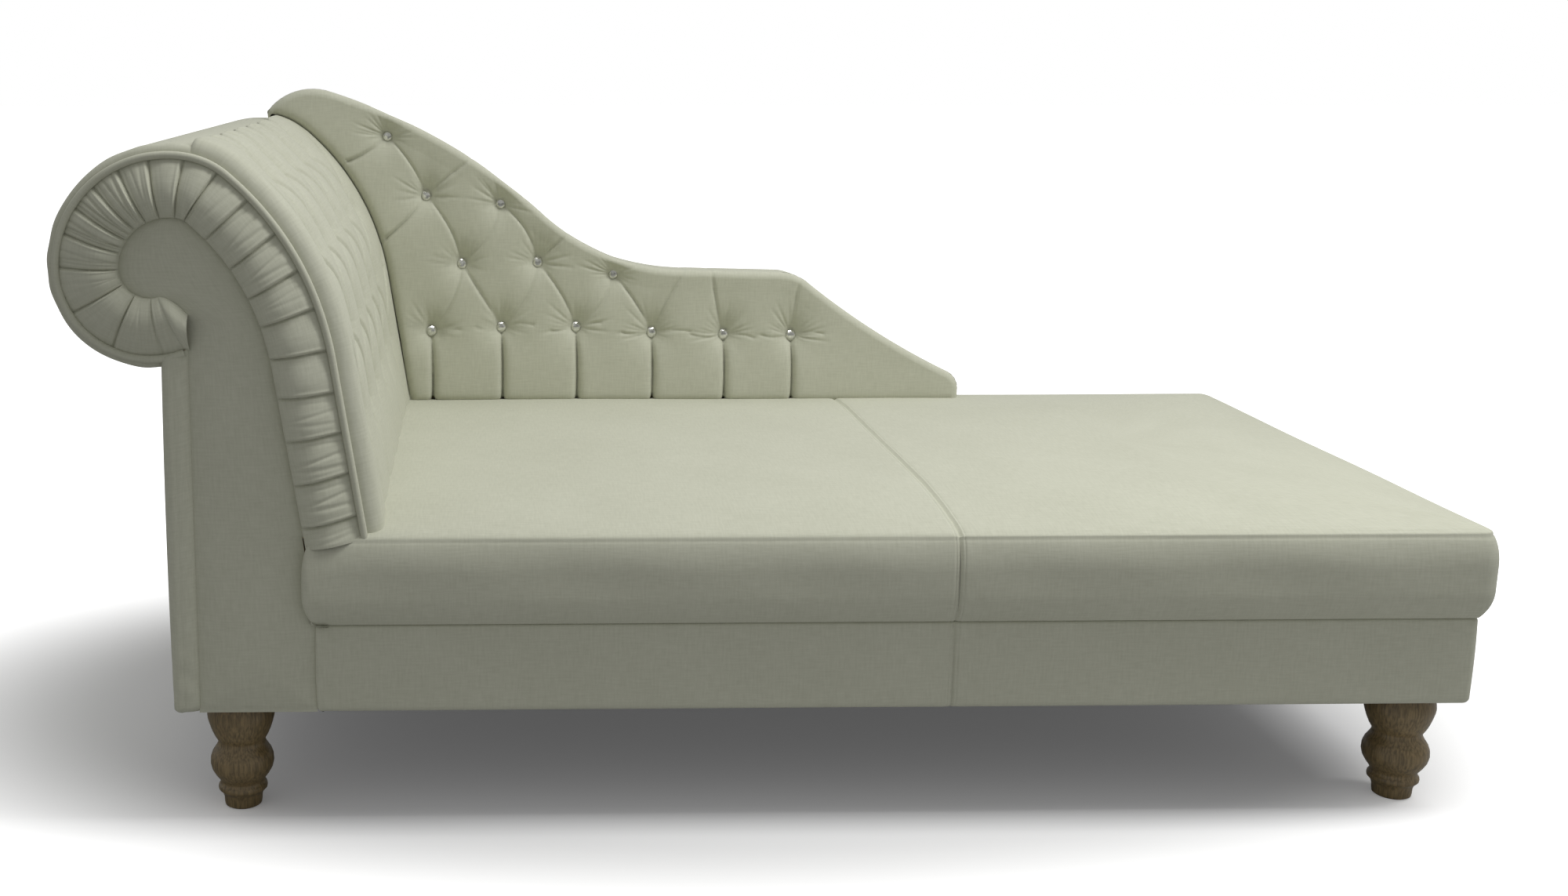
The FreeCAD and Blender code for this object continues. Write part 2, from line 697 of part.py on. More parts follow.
def swollen_side(place, limit, base, top):
    """Side arc that swells between its seams, and the round edge above it."""
    bulge = value("side_bulge")
    radius = value("edge_round")
    shoulder = limit - bulge / 2
    near = radius * (1 - math.sqrt(0.5))
    side = Part.Arc(place(limit - bulge, base), place(limit, (base + top) / 2),
                    place(shoulder, top - radius)).toShape()
    edge = Part.Arc(place(shoulder, top - radius), place(shoulder - near, top - near),
                    place(shoulder - radius, top)).toShape()
    return side, edge, shoulder - radius


def seat_block(skin):
    """Seat pad, crowned both ways: the common part of its long and its cross profile."""
    base = value(SEAT_BASE)
    top = value("seat_edge_z") - skin
    crown = top + value("crown_rise")
    half = value("seat_depth / 2") - skin
    end = value("seat_end") - skin

    def across(u, z):
        return Vector(0, u, z)

    def mirrored(u, z):
        return Vector(0, -u, z)

    def along(u, z):
        return Vector(u, 0, z)

    near_side, near_edge, reach = swollen_side(mirrored, half, base, top)
    far_side, far_edge, reach = swollen_side(across, half, base, top)
    crest = Part.Arc(across(-reach, top), across(0, crown), across(reach, top)).toShape()
    cross = Part.Face(Part.Wire([near_side, near_edge, crest, far_edge, far_side,
                                 Part.LineSegment(across(half - value("side_bulge"), base),
                                                  mirrored(half - value("side_bulge"),
                                                           base)).toShape()]))
    span = value("seat_end + root_high")
    cross.translate(Vector(-value("root_high") - 1, 0, 0))
    cross_solid = cross.extrude(Vector(span + 2, 0, 0))

    end_side, end_edge, reach = swollen_side(along, end, base, top)
    start = -value("crown_start")
    full = -value("crown_full")
    fall = reach - value("crown_fall")
    shoulder_z = top + value("crown_rise") * 0.75
    rise = Part.Arc(along(start, top), along((start + full) / 2, shoulder_z), along(full, crown))
    drop = Part.Arc(along(fall, crown), along((fall + reach) / 2, shoulder_z), along(reach, top))
    inset = skin + SLIP
    long_face = Part.Face(Part.Wire([
        Part.LineSegment(along(-value("root_low") + inset, base),
                         along(-value("root_high") + inset, top)).toShape(),
        Part.LineSegment(along(-value("root_high") + inset, top), along(start, top)).toShape(),
        rise.toShape(),
        Part.LineSegment(along(full, crown), along(fall, crown)).toShape(),
        drop.toShape(),
        end_edge,
        end_side,
        Part.LineSegment(along(end - value("side_bulge"), base),
                         along(-value("root_low") + inset, base)).toShape()]))
    return plate(long_face, -half - 1, half + 1).common(cross_solid)


def seat_height(y):
    """Height of the crown over a place on the Y axis."""
    rise = value("crown_rise")
    half = value("seat_depth / 2 - side_bulge / 2 - edge_round")
    radius = (half * half + rise * rise) / (2 * rise)
    return value("seat_edge_z") + rise - radius + math.sqrt(radius * radius - y * y)


def make_seat():
    """Foam, and a cover in two panels that meet at the cross seam."""
    outer = seat_block(0)
    shell = outer.cut(seat_block(value("cover_skin")))
    seam = value("seam_x")
    cut = value("seam_cut")
    reach = value("seat_end + arm_side")
    band = block((seam - cut, -reach, 0), (seam + cut, reach, reach))
    shell = shell.cut(band.common(outer).cut(seat_block(cut)))
    rear_end = value("board_right + 2 * slip")
    notch = block((-reach, BOARD_Y - SLIP, 0), (rear_end, reach, reach))
    shell = shell.cut(notch)
    shape_piece("seat_cover_head", shell.common(block((-reach, -reach, 0), (seam, reach, reach))))
    shape_piece("seat_cover_foot", shell.common(block((seam, -reach, 0), (reach, reach, reach))))
    shape_piece("seat_foam", seat_block(value("cover_skin + slip")).cut(notch))


# Scroll arm

def scroll_panel(path, offset, left, low, front, rear, shoulder=None):
    """Plate inside the scroll's outline, over a post that stands beside the seat."""
    edges = [span.edge(offset) for span in path]
    tip = edges[-1].lastVertex(True).Point
    if shoulder is None:
        shoulder = tip.z - abs(tip.x - left)
    upper = closed_face(edges + [Vector(left, 0, shoulder), Vector(left, 0, low)])
    upper = plate(upper, front, rear).cut(far_box(0, ARM_FLOOR))
    post = closed_face([Vector(left, 0, low), Vector(-value("root_low"), 0, low),
                        Vector(-value("root_low"), 0, value(SEAT_BASE)),
                        Vector(-value("root_high"), 0, ARM_FLOOR), Vector(left, 0, ARM_FLOOR)])
    return upper.fuse(plate(post, front, rear)).removeSplitter()


def above_seat(solid):
    return solid.cut(far_box(0, ARM_FLOOR))


def tuft_well(point, inward, across, deep):
    """Pit that narrows from the surface to the floor that its button sits on."""
    wide = value("well_wide")
    floor = value("well_floor")
    spare = 2
    lip = wide + spare * (wide - floor) / deep
    return faceted([ring(point - inward * spare, inward, across, lip),
                    ring(point + inward * deep, inward, across, floor)])


def fold(start, end, inward, deep, rise):
    """V-shaped fold between two places on a surface."""
    ahead = end - start
    side = ahead.cross(inward)
    side.normalize()
    half = value("pleat_wide") / 2 * (deep + rise) / value("pleat_deep")
    lip = start - inward * rise
    corners = [lip + side * half, start + inward * deep, lip - side * half]
    return closed_face(corners).extrude(ahead)


def crystal_button(floor, inward, across):
    """Cut button: eight sloping facets and a smaller flat crown."""
    radius = value("button_radius")
    crown = floor - inward * value("button_high")
    return faceted([ring(floor, inward, across, radius), ring(crown, inward, across, radius / 2)])


def arm_tufts():
    """Staggered grid of tufts on the arm: rows along the outline, and places on the Y axis."""
    pitch = value("tuft_pitch")
    limit = value("back_face") - pitch / 2 + value("button_radius")
    tufts = {}
    distance = value("arm_row_start")
    row = 0
    while distance < path_length(TUFTED) - value("tuft_rise") / 2:
        y = -value("arm_tuft_y") + row % 2 * pitch / 2
        place = row % 2
        while y < limit:
            tufts[(row, place)] = (distance, y)
            y += pitch
            place += 2
        distance += value("tuft_rise")
        row += 1
    return tufts


def arm_surface(distance, y):
    """Point on the tufted cover and its inward direction."""
    point, heading = path_place(TUFTED, distance)
    outward = right_of(heading)
    return point + outward * value("quilt_proud") + Y_AXIS * y, outward * -1


def arm_folds(tufts):
    """Folds from each tuft to the two above it, up to the seam and down to the seat."""
    folds = []
    deep = value("pleat_deep") / 2
    rise = value("pleat_deep")
    last_row = max(row for row, place in tufts)
    for (row, place), (distance, y) in tufts.items():
        start, inward = arm_surface(distance, y)
        ends = []
        if row == last_row:
            ends.append((path_length(TUFTED), y))
        else:
            step = value("tuft_pitch") / 2
            ends += [(distance + value("tuft_rise"), y - step), (distance + value("tuft_rise"), y + step)]
        if row == 0:
            ends.append((0, y))
        for far_distance, far_y in ends:
            end, far_inward = arm_surface(far_distance, far_y)
            middle = inward + far_inward
            middle.normalize()
            folds.append(fold(start, end, middle, deep, rise))
    return folds


def make_arm_frame():
    """Plywood formers, slats between them and the bent board that backs the padding."""
    offset = -value("pad_under + liner_thick + slip")
    left = value(FRAME_HEAD)
    half = value("board_thick / 2")
    front = scroll_panel(PADDED, offset, left, value("rail_base_z"), FRONT, -BOARD_Y)
    middle = scroll_panel(PADDED, offset, left, value(RAIL_TOP), -half, half)
    shape_piece("arm_front_former", front)
    shape_piece("arm_middle_former", middle)
    slats = []
    for number in range(int(value("slat_count"))):
        start = value("slat_first + slat_pitch * %d - slat_wide / 2" % number)
        path = stretch(PADDED, start, start + value("slat_wide"))
        for near, far in ((-BOARD_Y, -half), (half, BOARD_Y)):
            slats.append(carried(path, box_section(offset - value("slat_thick"), offset, near, far)))
    shape_piece("arm_slats", Part.makeCompound(slats))
    liner = carried(PADDED, box_section(offset + SLIP, -value("pad_under + slip"), FRONT,
                                        BOARD_Y - SLIP))
    shape_piece("arm_liner_board", above_seat(liner))


def make_arm_padding():
    """Padding round the scroll, under the tufted cover and the plain roll cover."""
    inner = -value("pad_under")
    outer = -value("quilt_under + slip")
    tufted = carried(TUFTED, box_section(inner, outer, FRONT, BOARD_Y - SLIP))
    roll = carried(ROLL, box_section(inner, outer, FRONT, REAR))
    shape_piece("arm_foam", above_seat(tufted.fuse(roll).removeSplitter()))
    cover = carried(ROLL, bevelled_section(-value("quilt_under"), value("roll_proud"), FRONT, REAR,
                                           value("roll_proud") / 2))
    shape_piece("arm_roll_cover", cover)


def make_arm_inside_cover():
    """Deep-buttoned cover: wells and folds are cut into a thick quilted layer."""
    quilt = carried(TUFTED, rounded_section(-value("quilt_under"), value("quilt_proud"), FRONT,
                                            BOARD_Y - SLIP, value("quilt_round")))
    tufts = arm_tufts()
    deep = value("arm_well_deep")
    cutters = arm_folds(tufts)
    buttons = []
    for distance, y in tufts.values():
        surface, inward = arm_surface(distance, y)
        cutters.append(tuft_well(surface, inward, Y_AXIS, deep))
        buttons.append(crystal_button(surface + inward * deep, inward, Y_AXIS))
    shape_piece("arm_inside_cover", above_seat(quilt).cut(cutters))
    shape_piece("arm_buttons", Part.makeCompound(buttons))


def make_arm_front():
    """Gathered border, facing inside it, and the piping round its outer edge."""
    wide = value("border_wide")
    crown = value("border_crown")
    border = above_seat(carried(SCROLL, crowned_section(
        -wide, -value("border_edge"), FRONT, value("border_side"), crown)))
    pitch = path_length(SCROLL) / value("border_pleats")
    half = value("gather_wide") / 2
    front = FRONT - crown
    gathers = []
    for number in range(int(value("border_pleats"))):
        point, heading = path_place(SCROLL, pitch * (number + 0.7))
        ahead = ahead_of(heading)
        root = point - right_of(heading) * (wide + 1)
        gather = closed_face([root + ahead * half + Y_AXIS * (front - 1),
                              root + Y_AXIS * (front + value("gather_deep")),
                              root - ahead * half + Y_AXIS * (front - 1)])
        gathers.append(gather.extrude(right_of(heading) * (wide + 1)))
    shape_piece("arm_scroll_border", border.cut(gathers))
    left = -value("arm_side - post_wide")
    tip = path_place(SCROLL, path_length(SCROLL))[0]
    facing = scroll_panel(SCROLL, -wide - SLIP, left, value(HEM_BASE),
                          FRONT - value("facing_thick"), FRONT, tip.z)
    hem = block((left, FRONT, value(HEM_BASE)),
                (-value("root_low"), -value(HEM_SIDE), value("rail_base_z")))
    shape_piece("arm_facing", facing.fuse(hem).removeSplitter())
    radius = value("piping_radius")
    cord = stretch(SCROLL, 0, path_length(SCROLL) - radius)
    piping = carried(cord, cord_section(0, FRONT - radius, radius))
    shape_piece("arm_piping", above_seat(piping))


def make_arm_outside():
    """Plain outside cover, wrapped round to the front strip and hemmed under."""
    side = -value("arm_side")
    front = FRONT - value("facing_thick")
    base = value(HEM_BASE)
    roll = SCROLL[5].centre()
    wall = block((side, FRONT, base), (value(FRAME_HEAD), REAR, roll.z))
    under_roll = Part.makeCylinder(value("scroll_r5 + roll_proud + slip"), 3 * REAR,
                                   Vector(roll.x, -1.5 * REAR, roll.z), Y_AXIS)
    strip = block((side, front, base), (side + value("post_wide"), FRONT, roll.z))
    under_piping = Part.makeCylinder(value("scroll_r5 + piping_radius + slip"), 3 * REAR,
                                     Vector(roll.x, -1.5 * REAR, roll.z), Y_AXIS)
    hem = block((value(FRAME_HEAD), FRONT, base),
                (value(FRAME_HEAD + " + hem_wide"), REAR, value("rail_base_z")))
    cover = wall.cut(under_roll).fuse([strip.cut(under_piping), hem])
    shape_piece("arm_outside_cover", cover.removeSplitter())


# Back

BACK_FLOOR = seat_height(value("back_face")) + SLIP
BACK_LEFT = value("(-back_x + 20)")


def back_plate(inset, low, front, rear):
    """Plate inside the back's outline, down to a level."""
    edges = [span.edge(inset) for span in BACK]
    end = edges[-1].lastVertex(True).Point
    region = closed_face(edges + [Vector(end.x, 0, 0), Vector(BACK_LEFT, 0, 0)])
    return plate(region, front, rear).cut(far_box(-1, low))


def beyond_arm():
    """Everything on the arm's side of its tufted cover."""
    edges = [span.edge(value("quilt_proud + slip")) for span in TUFTED]
    start = edges[0].firstVertex(True).Point
    end = edges[-1].lastVertex(True).Point
    far = ahead_of(TUFTED[-1].place(TUFTED[-1].length)[1]) * value("arm_side")
    region = closed_face([Vector(start.x, 0, 0)] + edges + [end + far, Vector(end.x + far.x, 0, 0)])
    return plate(region, -REAR, 2 * REAR)


def back_tufts():
    """Staggered grid of tufts that stays clear of the arm and of the back's edge."""
    pitch = value("tuft_pitch")
    edge = value("tuft_edge")
    tufts = {}
    for row in range(5):
        z = value("tuft_row_z") + row * value("tuft_rise")
        for place in range(-2, 12, 2):
            x = -value("tuft_row_x") + pitch * place / 2 + row % 2 * value("tuft_shift")
            top = path_height(BACK, x)
            arm = min(arm_surface(share * path_length(TUFTED) / 40, 0)[0].distanceToPoint(
                Vector(x, 0, z)) for share in range(41))
            inside = x > arm_edge(z)
            if inside and arm > edge and top > z + edge / 4:
                tufts[(row, place + row % 2)] = (x, min(z, top - edge))
    return tufts


def arm_edge(z):
    """Where the tufted arm meets the back at a height."""
    places = [arm_surface(share * path_length(TUFTED) / 40, 0)[0] for share in range(41)]
    return min(places, key=lambda place: abs(place.z - z)).x


def back_folds(tufts):
    """Folds between neighbouring tufts, out to the edge and down to the seat."""
    folds = []
    front = value("back_face")
    deep = value("pleat_deep")

    def add(start, end):
        folds.append(fold(Vector(start[0], front, start[1]), Vector(end[0], front, end[1]),
                          Y_AXIS, deep, 1))

    half = value("tuft_pitch / 2")
    rise = value("tuft_rise")
    for (row, place), (x, z) in tufts.items():
        upper = [tufts.get((row + 1, place + way)) for way in (-1, 1)]
        for far in upper:
            if far:
                add((x, z), far)
        if not any(upper):
            add((x, z), (x, path_height(BACK, x) + rise))
        if row == 0:
            add((x, z), (x, BACK_FLOOR - 1))
        for way in (-1, 1):
            if row and not tufts.get((row - 1, place + way)):
                add((x, z), (x + way * half, z - rise))
    return folds


def make_back_cover():
    """Deep-buttoned layer that wraps over the back's edge, with its buttons."""
    face = value("back_face")
    rear = value(QUILT_REAR)
    quilt = back_plate(0, BACK_FLOOR, face, rear)
    wrap = back_plate(0, BACK_FLOOR, rear, REAR + value("plinth_skin"))
    wrap = wrap.cut(back_plate(value("back_wrap"), 0, 0, 2 * REAR))
    quilt = quilt.fuse(wrap).cut(beyond_arm())
    tufts = back_tufts()
    deep = value("well_deep")
    cutters = back_folds(tufts)
    buttons = []
    for x, z in tufts.values():
        cutters.append(tuft_well(Vector(x, face, z), Y_AXIS, Vector(1, 0, 0), deep))
        buttons.append(crystal_button(Vector(x, face + deep, z), Y_AXIS, Vector(1, 0, 0)))
    shape_piece("back_inside_cover", quilt.cut(cutters))
    shape_piece("back_buttons", Part.makeCompound(buttons))


def make_back_frame():
    """Plywood back in the outline of the scroll and the sloping back, battens and foam."""
    wrap = value("back_wrap") + SLIP
    low = value("rail_base_z")
    scroll = scroll_panel(PADDED, -value("pad_under + slip"), value(FRAME_HEAD), low, BOARD_Y, REAR)
    board = back_plate(wrap, low, BOARD_Y, REAR).fuse(scroll).removeSplitter()
    shape_piece("back_board", board)
    half = value("batten_wide / 2")
    front = BOARD_Y - value("board_thick")
    under_edge = back_plate(value("batten_short"), BACK_FLOOR, front, BOARD_Y)
    battens = []
    gaps = []
    for number in range(3):
        x = value("-batten_first + batten_pitch * %d" % number)
        top = 2 * REAR
        battens.append(block((x - half, front, BACK_FLOOR), (x + half, BOARD_Y, top))
                       .common(under_edge))
        gaps.append(block((x - half - SLIP, front - SLIP, 0), (x + half + SLIP, REAR, top)))
    shape_piece("back_battens", Part.makeCompound(battens))
    foam = back_plate(wrap, BACK_FLOOR, value(QUILT_REAR) + SLIP, BOARD_Y - SLIP)
    shape_piece("back_foam", foam.cut(beyond_arm()).cut(gaps))


def make_outside_back():
    """Plain cloth over the rear of the back and the scroll, hemmed under the rail."""
    base = value(HEM_BASE)
    rear = REAR + value("plinth_skin")
    inset = value("back_wrap") + SLIP
    panel = back_plate(inset, base, REAR, rear)
    scroll = scroll_panel(PADDED, value("roll_proud"), -value("arm_side"), base, REAR, rear)
    hem = block((-value("arm_side") + value("plinth_skin + hem_wide"), value(HEM_SIDE), base),
                (value("board_right - hem_wide"), REAR, value("rail_base_z")))
    shape_piece("outside_back_cover", panel.fuse([scroll, hem]).removeSplitter())


make_rails()
make_corner_blocks()
make_foot_bolts()
make_feet()
make_deck()
make_base_borders()
make_seat()
make_arm_frame()
make_arm_padding()
make_arm_inside_cover()
make_arm_front()
make_arm_outside()
make_back_frame()
make_back_cover()
make_outside_back()
doc.recompute()


# Checks and files

def sub_parts():
    return [thing for thing in doc.Objects
            if thing.TypeId in ("PartDesign::Body", "Part::Feature")]


for thing in doc.Objects:
    if "Invalid" in thing.State or "Error" in thing.State:
        raise ValueError("%s failed: %s" % (thing.Name, thing.State))

os.makedirs("parts", exist_ok=True)
for piece in sub_parts():
    if piece.Shape.isNull() or not piece.Shape.isValid() or piece.Shape.Volume < 1:
        raise ValueError("%s has no sound shape" % piece.Label)
    piece.Shape.exportStep("parts/%s.step" % piece.Label)
    print("%-22s %2d solids %9.1f cm3" % (piece.Label, len(piece.Shape.Solids),
                                          piece.Shape.Volume / 1000))
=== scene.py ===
# %% [markdown]
# # A buttoned chaise longue with one scroll arm
#
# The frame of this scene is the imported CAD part: every solid already has its real size and
# place. What the eye judges is the cloth, so each padded solid is replaced by a surface with
# its folds, gathers and seams. The hidden inner pieces keep their CAD shape, but for the foam of
# the seat, which becomes a smaller pad.

# %% The frame
import json
import math

import bpy
import numpy as np
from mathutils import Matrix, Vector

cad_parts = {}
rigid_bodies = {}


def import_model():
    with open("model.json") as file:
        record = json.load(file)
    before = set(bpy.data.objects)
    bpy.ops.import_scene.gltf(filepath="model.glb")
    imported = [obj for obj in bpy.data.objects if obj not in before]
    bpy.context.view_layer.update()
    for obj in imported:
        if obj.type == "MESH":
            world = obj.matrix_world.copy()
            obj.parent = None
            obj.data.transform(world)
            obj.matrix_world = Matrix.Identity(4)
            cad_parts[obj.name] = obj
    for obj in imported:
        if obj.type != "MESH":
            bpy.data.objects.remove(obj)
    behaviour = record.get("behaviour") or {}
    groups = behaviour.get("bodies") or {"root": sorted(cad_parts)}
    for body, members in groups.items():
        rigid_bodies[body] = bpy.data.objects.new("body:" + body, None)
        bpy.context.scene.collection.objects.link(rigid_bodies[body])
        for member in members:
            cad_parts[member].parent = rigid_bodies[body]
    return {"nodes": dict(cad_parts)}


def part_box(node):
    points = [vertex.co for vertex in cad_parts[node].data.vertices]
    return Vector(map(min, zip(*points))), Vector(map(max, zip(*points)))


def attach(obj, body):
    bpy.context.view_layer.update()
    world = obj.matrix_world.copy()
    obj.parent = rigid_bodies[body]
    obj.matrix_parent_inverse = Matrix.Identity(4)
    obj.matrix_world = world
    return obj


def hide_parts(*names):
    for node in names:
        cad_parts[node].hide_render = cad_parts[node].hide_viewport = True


for thing in list(bpy.data.objects):
    bpy.data.objects.remove(thing)
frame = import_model()
bpy.context.view_layer.update()

# %% [markdown]
# ## Sizes
#
# Lengths are millimetres until a mesh is made. The outer places are read from the CAD boxes.
# The two outlines, of the scroll and of the back, are chains of straights and arcs, because an
# upholsterer's template is drawn that way and a chain is easy to follow with a hem or a cord.

# %% Places of the main pieces
def span(node, axis):
    """Lowest and highest place of a CAD node along an axis, in millimetres."""
    low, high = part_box(node)
    return low[axis] * 1000, high[axis] * 1000


SEAT_END = span("seat_cover_foot", 0)[1]
SEAT_SIDE = span("seat_cover_foot", 1)[1]
SEAT_HEAD = -span("seat_cover_head", 0)[0]
SEAT_BASE, SEAT_TOP = span("seat_cover_foot", 2)
SEAM_X = span("seat_cover_foot", 0)[0]
SEAM_Z = SEAT_TOP - 20
PLINTH_BASE, PLINTH_TOP = span("base_border_foot", 2)
PLINTH_SIDE = -span("base_border_foot", 1)[0]
PLINTH_END = span("base_border_foot", 0)[1]
ROOT_LOW = -span("base_border_head", 0)[0]
ARM_SIDE = -span("arm_outside_cover", 0)[0]
FACING = -span("arm_facing", 1)[0]
FRONT = -span("arm_roll_cover", 1)[0]
POST_RIGHT = ARM_SIDE - 32  # the post of the scroll is 32 mm wide
BACK_FACE = span("back_inside_cover", 1)[0]
BACK_REAR = span("back_inside_cover", 1)[1]
BACK_FLOOR, BACK_PEAK = span("back_inside_cover", 2)
print("seat ends at", round(SEAT_END), "back peaks at", round(BACK_PEAK))


# %% Chains of straights and arcs
def chain(start, heading, steps):
    """Spans of an outline in the XZ plane. A step is (radius, turn in degrees), or (0, length)."""
    x, z = start
    angle = math.radians(heading)
    spans = []
    for radius, amount in steps:
        turn = math.radians(amount) if radius else 0.0
        length = abs(radius * turn) if radius else amount
        side = math.copysign(radius, turn)
        spans.append((x, z, angle, side, turn, length))
        if radius:
            x += side * (math.sin(angle + turn) - math.sin(angle))
            z -= side * (math.cos(angle + turn) - math.cos(angle))
            angle += turn
        else:
            x += length * math.cos(angle)
            z += length * math.sin(angle)
    return spans


def length_of(spans):
    return sum(item[5] for item in spans)


def follow(spans, distance, offset=0.0):
    """Points (x, z) at distances along a chain, moved to its right by an offset.

    On a straight the point is the start plus the heading times the distance. On an arc the
    heading turns evenly with the distance, and the point is the radius times the change in
    the heading's sine and cosine."""
    distance = np.asarray(distance, float)
    x, z, heading = (np.zeros_like(distance) for _ in range(3))
    begin = 0.0
    for start_x, start_z, angle, side, turn, length in spans:
        here = distance >= begin - 1e-9
        part = distance - begin
        if side:
            now = angle + turn * part / length
            new_x = start_x + side * (np.sin(now) - math.sin(angle))
            new_z = start_z - side * (np.cos(now) - math.cos(angle))
        else:
            now = np.full_like(part, angle)
            new_x = start_x + part * math.cos(angle)
            new_z = start_z + part * math.sin(angle)
        x, z, heading = np.where(here, (new_x, new_z, now), (x, z, heading))
        begin += length
    return x + np.sin(heading) * offset, z - np.cos(heading) * offset


ROLL_RADIUS, ROLL_TURN = 108.2, 117.2  # the scroll's last arc
COVER_TURN = 99.6                      # degrees of it under the plain cover
SCROLL = chain((-514.9, 359), 99, [(0, 234.6), (413.9, 9.7), (353.8, 30.5), (93.9, 30.6),
                                   (135.7, 96.6), (ROLL_RADIUS, ROLL_TURN)])
BACK_START = (-720, 861.7)
BACK = chain(BACK_START, 52.2, [(93.3, -69.4), (911.2, -25.3), (351.8, 41), (0, 165.1),
                                (71.1, -37.4), (1242.9, 13.1), (33, -64.2)])
TUFTED = length_of(SCROLL[:4])
ROLL_END = length_of(SCROLL) - ROLL_RADIUS * math.radians(ROLL_TURN - COVER_TURN)
print("scroll", round(length_of(SCROLL)), "mm, back", round(length_of(BACK)), "mm")

# %% [markdown]
# ## From grids of points to meshes
#
# Every cloth piece is one or more grids of points. A grid is a whole numpy array, so a bulge or
# a fold is one formula over all of it. The helper below joins grids into one mesh and gives each
# a UV map in millimetres of cloth, measured along its own rows and columns, so that the weave
# follows the surface as it does on a real cover.

# %% Mesh helpers
def cloth_uv(points):
    """Length of cloth along the columns and along the rows, averaged over the grid."""
    across = np.linalg.norm(np.diff(points, axis=1), axis=2).mean(0)
    along = np.linalg.norm(np.diff(points, axis=0), axis=2).mean(1)
    u = np.concatenate([[0], np.cumsum(across)])
    v = np.concatenate([[0], np.cumsum(along)])
    return np.stack(np.broadcast_arrays(u[None, :], v[:, None]), axis=2)


def normals_of(points):
    """Unit normals of a grid: the cross product of its two directions."""
    normal = np.cross(np.gradient(points, axis=1), np.gradient(points, axis=0))
    return normal / np.maximum(np.linalg.norm(normal, axis=2, keepdims=True), 1e-9)


def add_mesh(name, corners, faces, uv, material):
    """One smooth mesh object at the origin, from corners in millimetres."""
    mesh = bpy.data.meshes.new(name)
    mesh.from_pydata(corners * 0.001, [], faces)
    mesh.polygons.foreach_set("use_smooth", np.ones(len(mesh.polygons), bool))
    layer = mesh.uv_layers.new(name="cloth")
    order = np.zeros(len(mesh.loops), np.int32)
    mesh.loops.foreach_get("vertex_index", order)
    layer.data.foreach_set("uv", (uv[order] * 0.001).ravel())
    mesh.materials.append(material)
    piece = bpy.data.objects.new(name, mesh)
    bpy.context.scene.collection.objects.link(piece)
    return piece


def join_grids(name, grids, material):
    """Mesh of several grids. Each is (points, uv or None, whether its faces turn over)."""
    corners, faces, uvs = [], [], []
    count = 0
    for points, uv, turned in grids:
        rows, columns = points.shape[:2]
        number = np.arange(rows * columns).reshape(rows, columns) + count
        quads = np.stack([number[:-1, :-1], number[:-1, 1:], number[1:, 1:], number[1:, :-1]], 2)
        quads = quads.reshape(-1, 4)
        faces.append(quads[:, ::-1] if turned else quads)
        corners.append(points.reshape(-1, 3))
        uvs.append((cloth_uv(points) if uv is None else uv).reshape(-1, 2))
        count += rows * columns
    piece = add_mesh(name, np.concatenate(corners), np.concatenate(faces), np.concatenate(uvs),
                     material)
    print(name, len(piece.data.polygons), "faces")
    return piece


def dress(piece, nodes):
    """Ride on the one body and stand for CAD nodes, which are hidden."""
    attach(piece, "root")
    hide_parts(*nodes)


# %% [markdown]
# ## Nodes for materials
#
# Colours are picked as sRGB hex values and turned to linear light by one function. One small
# helper adds a node with its settings and its links.

# %% Material helpers
def colour(code):
    """sRGB hex to linear light: a short straight near black, then a power of 2.4."""
    parts = np.array([int(code[place:place + 2], 16) for place in (0, 2, 4)]) / 255
    line = np.where(parts <= 0.04045, parts / 12.92, ((parts + 0.055) / 1.055) ** 2.4)
    return (*line.tolist(), 1.0)


def add_node(owner, kind, settings=(), links=()):
    """A node of a kind, with settings by attribute or socket, and links into its sockets.

    A socket goes by its name, or by its number where two share a name."""
    node = owner.node_tree.nodes.new("ShaderNode" + kind)
    for name, value in dict(settings).items():
        if isinstance(name, str) and hasattr(node, name):
            setattr(node, name, value)
        else:
            node.inputs[name].default_value = value
    for name, source in dict(links).items():
        owner.node_tree.links.new(source, node.inputs[name])
    return node


def new_finish(name, **settings):
    """A material with one Principled shader and uniform values set on its sockets."""
    material = bpy.data.materials.new(name)
    material.use_nodes = True
    shader = material.node_tree.nodes["Principled BSDF"]
    for socket, value in settings.items():
        shader.inputs[socket.replace("_", " ")].default_value = value
    return material, shader


def stretched_noise(material, place, scale, **settings):
    """Noise over coordinates that are stretched, so that its spots become streaks."""
    turned = add_node(material, "Mapping", {"Scale": scale}, {"Vector": place})
    noise = add_node(material, "TexNoise", {"Scale": 1.0, **settings},
                     {"Vector": turned.outputs["Vector"]})
    return noise.outputs["Fac"]


def two_tones(material, value, *stops):
    """Colour ramp between two stops, each a place and a hex colour."""
    ramp = add_node(material, "ValToRGB", {}, {"Fac": value})
    for element, (place, code) in zip(ramp.color_ramp.elements, stops):
        element.position = place
        element.color = colour(code)
    return ramp.outputs["Color"]


def finish_with(material, shader, tone, height, strength, depth):
    """Link a tone to the base colour, and a height in metres to the normal by a bump."""
    bump = add_node(material, "Bump", {"Strength": strength, "Distance": depth},
                    {"Height": height})
    material.node_tree.links.new(tone, shader.inputs["Base Color"])
    material.node_tree.links.new(bump.outputs["Normal"], shader.inputs["Normal"])


def grained(name, tone, dark, scale, roughness, relief=0.3, stops=(0.36, 0.64), depth=0.0004,
            **settings):
    """Two tones mixed by one stretched noise in object space, with a bump of the same noise."""
    material, shader = new_finish(name, Roughness=roughness, **settings)
    place = add_node(material, "TexCoord").outputs["Object"]
    noise = stretched_noise(material, place, scale, Detail=4.0)
    mixed = two_tones(material, noise, (stops[0], dark), (stops[1], tone))
    finish_with(material, shader, mixed, noise, relief, depth)
    return material


